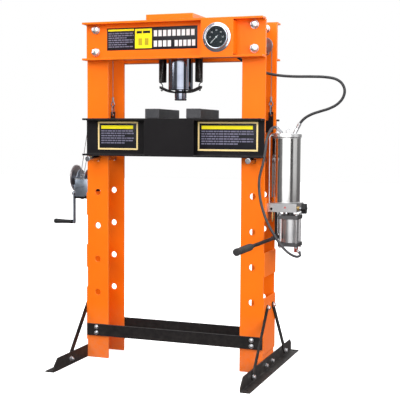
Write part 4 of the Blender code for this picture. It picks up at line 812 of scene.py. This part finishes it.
def fit_fasteners():
    for side, word in ((-1, "left"), (1, "right")):
        for end, face in ((-1, "front"), (1, "rear")):
            for number, z in enumerate((1.788, 1.668)):
                bolt(f"beam_bolt_{word}_{face}_{number}", at(side * 0.445, end * 0.1148, z), (0, end, 0),
                     flats=0.036, head=0.016, washer=0.0225, washer_thick=0.0035, turn=0.3 * number)
                threaded_end(f"beam_nut_{word}_{face}_{number}", at(side * 0.445, end * 0.0949, z), (0, -end, 0),
                             flats=0.03, nut=0.018, stud=0.008, washer=0.021)
            for number, z in enumerate((0.172, 0.141)):
                bolt(f"cross_bolt_{word}_{face}_{number}", at(side * 0.445, end * 0.1174, z), (0, end, 0),
                     flats=0.017, head=0.009, washer=0.0125, turn=0.2)
            bolt(f"foot_bolt_{word}_{face}", at(side * 0.5089, end * 0.056, 0.031), (side, 0, 0),
                 flats=0.019, head=0.01, washer=0.0135)
            bolt(f"strut_top_bolt_{word}_{face}", at(side * 0.5152, end * 0.052, 0.336), (side, 0, 0),
                 flats=0.019, head=0.01, washer=0.0135, turn=0.4)
            bolt(f"strut_foot_bolt_{word}_{face}", at(side * 0.5152, end * 0.305, 0.033), (side, 0, 0),
                 flats=0.019, head=0.01, washer=0.0135, turn=0.1)
            threaded_end(f"strut_foot_nut_{word}_{face}", at(side * 0.5027, end * 0.305, 0.033), (-side, 0, 0))
    bolt("winch_shelf_bolt_0", at(-0.575, -0.03, 0.8779), (0, 0, -1), flats=0.015, head=0.009,
         washer=0.011)
    bolt("winch_shelf_bolt_1", at(-0.575, 0.03, 0.8779), (0, 0, -1), flats=0.015, head=0.009,
         washer=0.011)
    for number, (y, z) in enumerate(((-0.04, 0.815), (0.04, 0.815))):
        bolt(f"winch_bracket_bolt_{number}", at(-0.5149, y, z), (-1, 0, 0), flats=0.017, head=0.008,
             washer=0.012)


# --- Frame ---

def weld(name, start, end, size=0.0035, body="frame", finish=None):
    """A hand-laid bead along a joint."""
    start, end = Vector(start), Vector(end)
    length = (end - start).length
    count = max(8, int(length / 0.0022))
    points = [start.lerp(end, i / count) for i in range(count + 1)]
    radii = [size * (0.86 + 0.14 * math.cos(2.1 * i) + 0.05 * math.sin(0.37 * i)) for i in range(count + 1)]
    return swept(name, points, size, finish or ORANGE, body, sides=8, radii=radii)


def make_frame():
    for node in ("left_column", "right_column", "beam_front_channel", "beam_rear_channel", "beam_top_plate",
                 "cylinder_guide_plate", "gauge_panel"):
        refined(node, ORANGE, 0.0014, ORANGE_LIT_EDGE)
    for node in ("front_cross_plate", "rear_cross_plate", "left_foot", "right_foot", "left_front_strut",
                 "left_rear_strut", "right_front_strut", "right_rear_strut"):
        refined(node, BLACK, 0.001, BLACK_LIT_EDGE)
    for side, word in ((-1, "left"), (1, "right")):
        for end, face in ((-1, "front"), (1, "rear")):
            for number, z in enumerate((0.39, 0.502, 0.625, 0.79, 0.91)):
                weld(f"batten_weld_{word}_{face}_{number}", at(side * 0.5045, end * 0.104, z),
                     at(side * 0.5045, end * 0.099, z), 0.0028)


# --- Cylinder, ram and springs ---

def make_cylinder():
    body = "frame"
    top = ends_of("cylinder")[1]
    foot = 1.468
    rings = [(0.0637, foot), (0.0655, foot + 0.0018),
             (0.0655, foot + 0.01), (0.0647, foot + 0.0108), (0.0647, foot + 0.0125), (0.0655, foot + 0.0133),
             (0.0655, top - 0.002), (0.064, top)]
    barrel = ringed(rings, MIDDLE, UP, 96)
    boss = ringed([(0.011, 0.062), (0.011, 0.0935), (0.0095, 0.095)], at(0, 0, 1.745), (0, -1, 0), 32)
    nipple = ringed([(0.008, 0.0), (0.008, 0.056), (0.0072, 0.06)], at(0, -0.083, 1.745), (1, 0, 0), 32)
    for piece in (boss, nipple, barrel):
        piece.data.materials.clear()
        piece.data.materials.append(DARK_CHROME if piece is barrel else ZINC)
    settle(joined("cylinder_finished", [barrel, boss, nipple]), "cylinder_finished", None, body, ("cylinder",), 34)
    bolt("port_union_nut", at(0.026, -0.083, 1.745), (1, 0, 0), body, flats=0.022, head=0.014, washer=0.01)
    refined("cylinder_gland", GROUND_STEEL, 0.0006)


def thicken_arms(bracket):
    """The bracket's arms are forged thicker away from its flat middle."""
    for vertex in bracket.data.vertices:
        reach = abs(vertex.co.x - MIDDLE[0])
        run = max(0.0, reach - 0.034) / 0.082
        middle = 1.4562 + 0.027 * run ** 1.6
        vertex.co.z = middle + (vertex.co.z - middle) * (1 + 0.6 * min(1.0, run * 3))


def make_ram():
    rod_foot, rod_top = ends_of("ram_rod")
    shoulder = 1.4605
    turned_from("ram_rod", "ram_rod_finished",
                [(0.012, rod_foot), (0.012, shoulder), (0.0285, shoulder), (0.03, shoulder + 0.0015),
                 (0.03, rod_top - 0.035), (0.0545, rod_top - 0.034), (0.0547, rod_top)], DARK_CHROME, sides=72)
    low, high = ends_of("ram_nose")
    turned_from("ram_nose", "ram_nose_finished",
                [(0.0285, low), (0.0308, low + 0.0006), (0.032, low + 0.0025), (0.032, low + 0.01),
                 (0.0303, low + 0.0112), (0.0303, low + 0.0142), (0.032, low + 0.0154), (0.032, low + 0.0205),
                 (0.0312, low + 0.0212), (0.0312, low + 0.0226), (0.032, low + 0.0233), (0.032, high - 0.002),
                 (0.0305, high - 0.0003), (0.015, high)], DARK_CHROME, sides=72)
    bracket = refined("spring_bracket", BLACK, 0.0012, BLACK_LIT_EDGE)
    thicken_arms(bracket)
    for side in (-1, 1):
        word = "left" if side < 0 else "right"
        bolt(f"nose_set_screw_{word}", at(side * 0.0316, 0, low + 0.03), (side, 0, 0), "ram", flats=0.006,
             head=0.0006,
             washer=0.0035, washer_thick=0.0004)


def coil(side, word):
    """A close-wound return spring, hooked through the guide plate above and the bracket below."""
    x = side * 0.104
    radius = 0.0188
    wire = 0.00268
    low, high = 1.51, 1.655
    turns = 26
    hook = [(x + side * out, 0, z) for out, z in (
        (0.0094, 1.4705), (0.008, 1.4662), (0.0048, 1.4645), (0.0016, 1.467), (0.0002, 1.473), (0, 1.485),
        (0.001, 1.493), (0.0045, 1.5), (0.01, 1.5058), (0.0165, 1.5085))]
    path = smooth_route(hook, 60)[:-1]
    per_turn = 28
    for i in range(turns * per_turn + 1):
        angle = 2 * math.pi * i / per_turn
        z = low + (high - low) * i / (turns * per_turn)
        path.append(Vector((x + side * radius * math.cos(angle), radius * math.sin(angle), z)))
    tail = [path[-1], Vector((x + side * 0.015, 0.008, 1.6585)), Vector((x + side * 0.006, 0.0085, 1.663)),
            Vector((x, 0.003, 1.669)), Vector((x, 0, 1.679)), Vector((x, 0, 1.6995))]
    path += smooth_route(tail, 24)[1:]
    obj = swept(f"{word}_return_spring_finished", [MIDDLE + p for p in path], wire, SPRING_STEEL, None, sides=8)
    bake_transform(obj)
    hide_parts(f"{word}_return_spring")


# --- Gauge ---

INK = 0.0002  # how far printed marks stand proud


def make_gauge():
    centre = at(0.263, 0, 1.7234)
    back = MIDDLE[1] - 0.1736
    foot = Vector((centre[0], back, centre[2]))
    out = (0, -1, 0)
    shell = [(0.054, 0.014), (0.0575, 0.0146), (0.0598, 0.014), (0.0617, 0.0118), (0.0628, 0.008),
             (0.064, 0.0045), (0.0665, 0.0036), (0.0725, 0.0034), (0.0745, 0.0026), (0.075, 0.0012),
             (0.0748, 0.0), (0.056, 0.0), (0.056, -0.037), (0.0545, -0.0382), (0.01, -0.0382),
             (0.01, -0.0352), (0.0536, -0.0352)]
    turned("gauge_case_finished", shell, foot, out, CHROME, sides=96, hollow=True,
           stands_for=("gauge_case",), angle=50)
    turned("gauge_inner_ring", [(0.0502, 0.0084), (0.0536, 0.0118), (0.0539, 0.0084)], foot, out, BLACK_PLASTIC,
           sides=96, hollow=True)
    refined("gauge_dial", DIAL_BLACK, 0.0002)
    face = foot + Vector((0, -0.0081, 0))
    marks = []
    for i in range(61):
        sweep = math.radians(225 - 4.5 * i)
        long_mark = i % 10 == 0
        length = 0.0075 if long_mark else (0.0055 if i % 5 == 0 else 0.0034)
        width = 0.0011 if long_mark else 0.0006
        turn = Matrix.Rotation(-sweep, 4, "Y")
        place = Matrix.Translation(face) @ turn @ Matrix.Translation((0.0485 - length / 2, 0, 0))
        marks.append(thin_bar(place, (length, INK, width)))
    arc_points = []
    for i in range(91):
        sweep = math.radians(225 - 3 * i)
        arc_points.append(face + Vector((0.0489 * math.cos(sweep), 0, 0.0489 * math.sin(sweep))))
    settle(joined("gauge_ticks", marks), "gauge_ticks", DIAL_WHITE)
    swept("gauge_scale_line", arc_points, 0.00022, DIAL_WHITE, sides=6)
    figures = []
    for i in range(7):
        sweep = math.radians(225 - 45 * i)
        curve = bpy.data.curves.new("figure", "FONT")
        curve.body = str(i * 10)
        curve.size = 0.0108
        curve.align_x = "CENTER"
        curve.align_y = "CENTER"
        curve.extrude = 0.0001
        holder = bpy.data.objects.new("figure", curve)
        bpy.context.scene.collection.objects.link(holder)
        only(holder)
        bpy.ops.object.convert(target="MESH")
        figure = bpy.context.active_object
        upright = Matrix.Rotation(math.radians(90), 4, "X")
        spot = face + Vector((0.0345 * math.cos(sweep), -0.0001, 0.0345 * math.sin(sweep)))
        fix_place(figure, Matrix.Translation(spot) @ upright)
        figures.append(figure)
    settle(joined("gauge_figures", figures), "gauge_figures", DIAL_WHITE)
    refined("gauge_needle", DIAL_WHITE, 0.0003)
    turned("gauge_needle_cap", [(0.0048, 0.0098), (0.0044, 0.011), (0.003, 0.0117)], foot, out, DIAL_WHITE,
           "needle", sides=32)
    turned("gauge_glass", [(0.0534, 0.0124), (0.0537, 0.0128), (0.0534, 0.0132)], foot, out, GLASS,
           sides=96)
    for i in range(3):
        sweep = math.radians(90 + 120 * i)
        spot = foot + Vector((0.0694 * math.cos(sweep), -0.0033, 0.0694 * math.sin(sweep)))
        turned(f"gauge_screw_{i}", [(0.003, 0.0), (0.003, 0.0008), (0.0022, 0.0018), (0.0008, 0.002)], spot, out,
               ZINC_BOLT, sides=24)
    refined("gauge_line", GROUND_STEEL, 0.0)


# --- Labels: blank bars where a maker would print words ---

def print_bars(name, bars, front, finish, body="frame"):
    """Flat bars standing a hair's breadth proud of a face that looks to -Y; bars are (x, z, width, height)."""
    pieces = [thin_bar(Matrix.Translation(at(x + width / 2, front - INK / 2, z + height / 2)), (width, INK, height))
              for x, z, width, height in bars]
    return settle(joined(name, pieces), name, finish, body)


def text_lines(left, right, top, pitch, height, rows, gaps):
    """Rows of short blank bars, each row broken where words would end."""
    bars = []
    for row in range(rows):
        x = left
        end = right - (0.28 * (right - left) if row % 3 == 2 else 0.0)
        step = 0
        while x < end - 0.004:
            width = min(gaps[(row * 3 + step) % len(gaps)], end - x)
            bars.append((x, top - row * pitch - height, width, height))
            x += width + 0.0035
            step += 1
    return bars


def make_labels():
    web = -0.1148
    block("beam_label_sheet", at(-0.38, web - 0.0005, 1.676), at(0.137, web, 1.794), LABEL_BLACK, edge=0.0002)
    front = web - 0.0005
    words = (0.02, 0.011, 0.026, 0.015, 0.008, 0.022)
    print_bars("beam_label_notice_head", [(-0.373, 1.7775, 0.151, 0.0095)], front, LABEL_YELLOW)
    print_bars("beam_label_notice_lines", text_lines(-0.371, -0.224, 1.768, 0.0117, 0.006, 7, words), front,
               LABEL_GREY)
    print_bars("beam_label_yellow_field", [(-0.216, 1.684, 0.097, 0.102)], front, LABEL_YELLOW)
    print_bars("beam_label_yellow_bars", [(-0.206, 1.762, 0.03, 0.013), (-0.17, 1.762, 0.041, 0.013)],
               front - 0.0002, LABEL_BLACK)
    print_bars("beam_label_yellow_faint", [(-0.196, 1.7, 0.022, 0.036), (-0.16, 1.7, 0.022, 0.036)],
               front - 0.0002, LABEL_DARK)
    upper = [(-0.108 + i * 0.0262, 1.744, 0.019, 0.032) for i in range(9)]
    lower = [(-0.108 + i * 0.0262, 1.69, 0.019, 0.032) for i in range(4)]
    lower += [(0.01 + i * 0.0242, 1.69, 0.0178, 0.032) for i in range(5)]
    print_bars("beam_label_upper_blocks", upper, front, LABEL_WHITE)
    print_bars("beam_label_lower_blocks", lower, front, LABEL_WHITE)
    bed_web = -0.1155
    for word, left, right in (("left", -0.434, -0.198), ("right", 0.143, 0.469)):
        low, high = 1.147, 1.297
        block(f"bed_label_sheet_{word}", at(left, bed_web - 0.0005, low), at(right, bed_web, high), LABEL_BLACK,
              "bed", edge=0.0002)
        face = bed_web - 0.0005
        wide = right - left
        rim = 0.0085
        print_bars(f"bed_label_rim_{word}",
                   [(left, high - rim, wide, rim), (left, low, wide, rim), (left, low + rim, rim,
                                                                            high - low - 2 * rim),
                    (right - rim, low + rim, rim, high - low - 2 * rim)], face, LABEL_PALE, "bed")
        print_bars(f"bed_label_head_{word}", [(left + 0.02, high - 0.038, wide - 0.048, 0.018)], face,
                   LABEL_YELLOW, "bed")
        print_bars(f"bed_label_lines_{word}",
                   text_lines(left + 0.02, right - 0.024, high - 0.046, 0.0128, 0.0066, 6, words), face,
                   LABEL_GREY, "bed")


# --- Bed ---

def make_bed():
    for node in ("bed_front_channel", "bed_rear_channel", "bed_left_tie_plate", "bed_right_tie_plate"):
        refined(node, BLACK, 0.0014, BLACK_LIT_EDGE)
    for node in ("left_press_plate", "right_press_plate"):
        refined(node, PLATE_STEEL, 0.0016, PLATE_LIT_EDGE)
    for node in ("left_support_pin", "right_support_pin"):
        refined(node, GROUND_STEEL, 0.0, smooth_angle=30)
    for side, word in ((-1, "left"), (1, "right")):
        for end, face in ((-1, "front"), (1, "rear")):
            weld(f"bed_weld_{word}_{face}", at(side * 0.1375, end * 0.1685, 1.126), at(side * 0.1375,
                                                                                       end * 0.1685, 1.303),
                 0.0028, "bed", BLACK)
    for word in ("left", "right"):
        refined(f"{word}_hook", ZINC, 0.0, smooth_angle=60)


# --- Winch, ropes and pulleys ---

def make_winch():
    refined("winch_bracket", BLACK, 0.001, BLACK_LIT_EDGE)
    refined("winch_frame", ZINC, 0.0008)
    drum = refined("winch_drum", ZINC, 0.0004)
    repaint(drum, GEAR_STEEL, lambda p: p.x < -0.6215)
    refined("winch_drum_shaft", GROUND_STEEL, 0.0004)
    refined("winch_pinion", GEAR_STEEL, 0.0004)
    refined("winch_crank_arm", ZINC, 0.0009)
    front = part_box("winch_frame")[0][1] - MIDDLE[1]
    block("winch_front_plate", at(-0.605, front - 0.0025, 0.8886), at(-0.5165, front - 0.0003, 0.98), ZINC,
          edge=0.0007)
    block("winch_front_lip", at(-0.605, front - 0.0055, 0.979), at(-0.5165, front + 0.003, 0.982), ZINC_BOLT,
          edge=0.0007)
    block("winch_shelf_lip", at(-0.6055, front - 0.0075, 0.873), at(-0.5165, front - 0.004, 0.8838), BLACK,
          edge=0.0006)
    block("winch_pawl", at(-0.62, -0.05, 0.92), at(-0.608, -0.036, 0.948), ZINC, edge=0.0015)
    threaded_end("crank_nut", at(-0.6431, 0, 0.898), (-1, 0, 0), "crank", flats=0.019, nut=0.007, stud=0.003,
                 washer=0.012)
    foot, length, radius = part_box("crank_grip")[0][0], 0.118, 0.0135
    grip = [(0.0075, 0.0), (0.0112, 0.0008), (radius - 0.0003, 0.004), (radius, 0.012), (radius - 0.0014, 0.04),
            (radius - 0.0028, 0.07), (radius - 0.003, 0.09), (radius - 0.0024, length - 0.004),
            (radius - 0.004, length - 0.0008), (0.007, length)]
    turned("crank_grip_finished", grip, Vector((foot, MIDDLE[1], 0.736)), (1, 0, 0), BLACK_PLASTIC, "grip",
           sides=48, stands_for=("crank_grip",), angle=60)
    wraps = []
    turns = 7
    start, end = -0.5935, -0.5575
    for i in range(turns * 24 + 1):
        angle = 2 * math.pi * i / 24
        x = start + (end - start) * i / (turns * 24)
        wraps.append(at(x, -0.0222 * math.cos(angle), 0.983 + 0.0222 * math.sin(angle)))
    swept("drum_rope_winding", wraps, 0.0019, WIRE_ROPE, "drum", sides=8)


def wrap(centre_x, y, first, last, steps):
    points = []
    for i in range(steps + 1):
        angle = math.radians(first + (last - first) * i / steps)
        points.append(Vector((centre_x + 0.04 * math.cos(angle), y, 1.7 + 0.04 * math.sin(angle))))
    return points


def make_ropes():
    left_start, right_start = Vector((-0.591, -0.0223, 0.983)), Vector((-0.573, -0.0223, 0.983))
    left = [left_start] + [left_start.lerp(Vector((-0.48, 0, 1.7)), i / 40) for i in range(1, 40)]
    left += wrap(-0.44, 0, 180, 0, 30) + [Vector((-0.4, 0, 1.6003))]
    right = [right_start] + [right_start.lerp(Vector((-0.48, 0.08, 1.7)), i / 40) for i in range(1, 40)]
    right += wrap(-0.44, 0.08, 180, 90, 15) + wrap(0.44, 0.08, 90, 0, 15) + [Vector((0.48, 0.08, 1.6003))]
    for word, path in (("left", left), ("right", right)):
        swept(f"{word}_rope_finished", [MIDDLE + p for p in path], 0.0019, WIRE_ROPE, sides=8,
              stands_for=(f"{word}_rope",))
        low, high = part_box(f"{word}_rope_drop")
        x, y = (low[0] + high[0]) / 2, (low[1] + high[1]) / 2
        drop = [Vector((x, y, high[2] + (low[2] - high[2]) * i / 24)) for i in range(25)]
        obj = swept(f"{word}_rope_drop_finished", drop, 0.0019, WIRE_ROPE, None, sides=8)
        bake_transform(obj)
        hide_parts(f"{word}_rope_drop")
    for word in ("left", "right"):
        refined(f"{word}_pulley", ZINC, 0.0005, angle=40, smooth_angle=30)


# --- Pump, tank and air motor ---

def make_pump():
    refined("pump_block", ALUMINIUM, 0.0014)
    refined("lever_bracket", BLACK, 0.0006, BLACK_LIT_EDGE)
    refined("pump_plunger", GROUND_STEEL, 0.0004)
    refined("pump_lever", BLACK, 0.0007, BLACK_LIT_EDGE)
    x, z = 0.551, 0.705
    start, end = -0.712, -0.483
    length = end - start
    rings = [(0.01, 0.0), (0.015, 0.001), (0.0176, 0.004), (0.018, 0.012), (0.0174, 0.02)]
    height = 0.03
    while height < length - 0.02:
        rings += [(0.0168, height), (0.016, height + 0.002), (0.016, height + 0.004), (0.0168, height + 0.006)]
        height += 0.014
    rings += [(0.015, length - 0.006), (0.0135, length - 0.001), (0.0098, length)]
    turned("lever_grip_finished", rings, at(x, start, z), (0, 1, 0), GRIP_RUBBER, "lever", sides=48,
           stands_for=("lever_grip",), angle=50)
    low, high = ends_of("oil_tank")
    tank = [(0.071, low), (0.074, low + 0.0006), (0.074, high - 0.0006), (0.071, high)]
    turned("oil_tank_finished", tank, at(0.5865, 0, 0), UP, TANK_METAL, sides=128,
           stands_for=("oil_tank",), angle=50)
    for word, spot in (("foot", low + 0.0005), ("head", high - 0.006)):
        turned(f"tank_band_{word}", [(0.0738, spot), (0.0752, spot + 0.001), (0.0752, spot + 0.0045),
                                    (0.0738, spot + 0.0055)], at(0.5865, 0, 0), UP, CAP_METAL, sides=96)
    base = high + 0.0003
    top = base + 0.021
    cap = [(0.077, base), (0.079, base + 0.0015), (0.079, top - 0.005), (0.0775, top - 0.002),
           (0.0745, top - 0.0006), (0.07, top - 0.0006), (0.069, top)]
    turned("tank_cap_finished", cap, at(0.5865, 0, 0), UP, CAP_METAL, sides=96,
           stands_for=("tank_cap",), angle=30)
    oil_end, oil_next = Vector(OIL_HOSE_ROUTE[0]), Vector(OIL_HOSE_ROUTE[1])
    lean = (oil_next - oil_end).normalized()
    turned("oil_outlet", [(0.0092, -0.034), (0.0092, -0.003), (0.008, -0.0004)], MIDDLE + oil_end, lean,
           ZINC_BOLT, sides=6, edge=0.0006)
    air_end, air_next = Vector(AIR_HOSE_ROUTE[0]), Vector(AIR_HOSE_ROUTE[1])
    lean = (air_next - air_end).normalized()
    elbow = [air_end - lean * 0.018 - Vector((0, 0, 0.016)), air_end - lean * 0.018, air_end - lean * 0.014,
             air_end - lean * 0.008, air_end - lean * 0.0004]
    swept("air_outlet_elbow", [MIDDLE + p for p in smooth_route(elbow, 24)], 0.0072, ZINC_BOLT, sides=20)
    turned("filler_plug", [(0.01, 0.0), (0.01, 0.004), (0.0085, 0.0055), (0.004, 0.006)], at(0.604, -0.036, top),
           UP, CAP_METAL, sides=32)
    ring = []
    for i in range(40):
        angle = 2 * math.pi * i / 40
        ring.append(at(0.604 + 0.009 * math.cos(angle), -0.036 + 0.003 * math.cos(angle),
                       top + 0.0135 + 0.009 * math.sin(angle)))
    swept("filler_ring", ring, 0.0013, ZINC_BOLT, sides=10, closed=True)
    for i in range(4):
        angle = math.radians(45 + 90 * i)
        turned(f"cap_screw_{i}", [(0.0048, 0.0), (0.0048, 0.0038), (0.0042, 0.0045)],
               at(0.5865 + 0.06 * math.cos(angle), 0.06 * math.sin(angle), top), UP, ZINC_BOLT,
               sides=32)
    level = [(0.518, -0.064, 0.8822), (0.517, -0.065, 0.9), (0.5165, -0.065, 1.0), (0.5165, -0.065, 1.1),
             (0.5165, -0.065, 1.205), (0.5172, -0.064, 1.22), (0.5195, -0.0618, 1.2275), (0.5225, -0.059, 1.23),
             (0.5285, -0.053, 1.23)]
    swept("level_tube", [MIDDLE + p for p in smooth_route([Vector(p) for p in level], 80)], 0.0028, CAP_METAL,
          sides=12)
    turned("release_stem_collar", [(0.011, 0.0), (0.011, 0.006), (0.009, 0.007), (0.0075, 0.01)],
           at(0.6641, -0.045, 0.858), (1, 0, 0), BRASS, sides=6, edge=0.0005)
    knob = refined("release_knob", BLACK_PLASTIC, 0.0042, segments=4, angle=50, smooth_angle=50)
    repaint(knob, GROUND_STEEL, lambda p: p.x < 0.6855)
    turned("block_plug", [(0.0065, 0.0), (0.0065, 0.001), (0.0052, 0.0022)], at(0.532, -0.075, 0.854), (0, -1, 0),
           BLACK_PLASTIC, sides=32)
    turned("block_red_spot", [(0.007, 0.0), (0.007, 0.0004), (0.0064, 0.0008)], at(0.604, -0.075, 0.862), (0, -1,
                                                                                                           0),
           RED_MARK, sides=3, edge=0.0002)
    turned("brass_relief_valve", [(0.006, 0.0), (0.006, 0.01), (0.0078, 0.0104), (0.0078, 0.02), (0.0055, 0.0206),
                                  (0.0055, 0.026), (0.007, 0.0266), (0.007, 0.038), (0.005, 0.039),
                                  (0.0046, 0.05), (0.003, 0.0515)], at(0.535, -0.062, 0.8379), (0, 0, -1), BRASS,
                                  sides=24)


def make_motor():
    motor = refined("air_motor", ALUMINIUM, 0.0008)
    repaint(motor, GREY_PLATE, lambda p: p.z > 0.7995 or 0.6585 < p.z < 0.6795)
    repaint(motor, RED_METAL, lambda p: p.z < 0.6585)
    for i in range(4):
        x = 0.613 + 0.043 * (-1 if i % 2 else 1)
        y = 0.043 * (-1 if i // 2 else 1)
        bolt(f"motor_tie_bolt_{i}", at(x, y, 0.6589), (0, 0, -1), flats=0.012, head=0.006, washer=0.0075)
        threaded_end(f"motor_tie_nut_{i}", at(x, y, 0.8201), UP, flats=0.012, nut=0.006, stud=0.003,
                     washer=0.0075)


set_up_camera()
make_hoses()
set_up_studio()
make_frame()
make_cylinder()
make_ram()
coil(-1, "left")
coil(1, "right")
make_gauge()
make_bed()
make_labels()
make_winch()
make_ropes()
make_pump()
make_motor()
fit_fasteners()
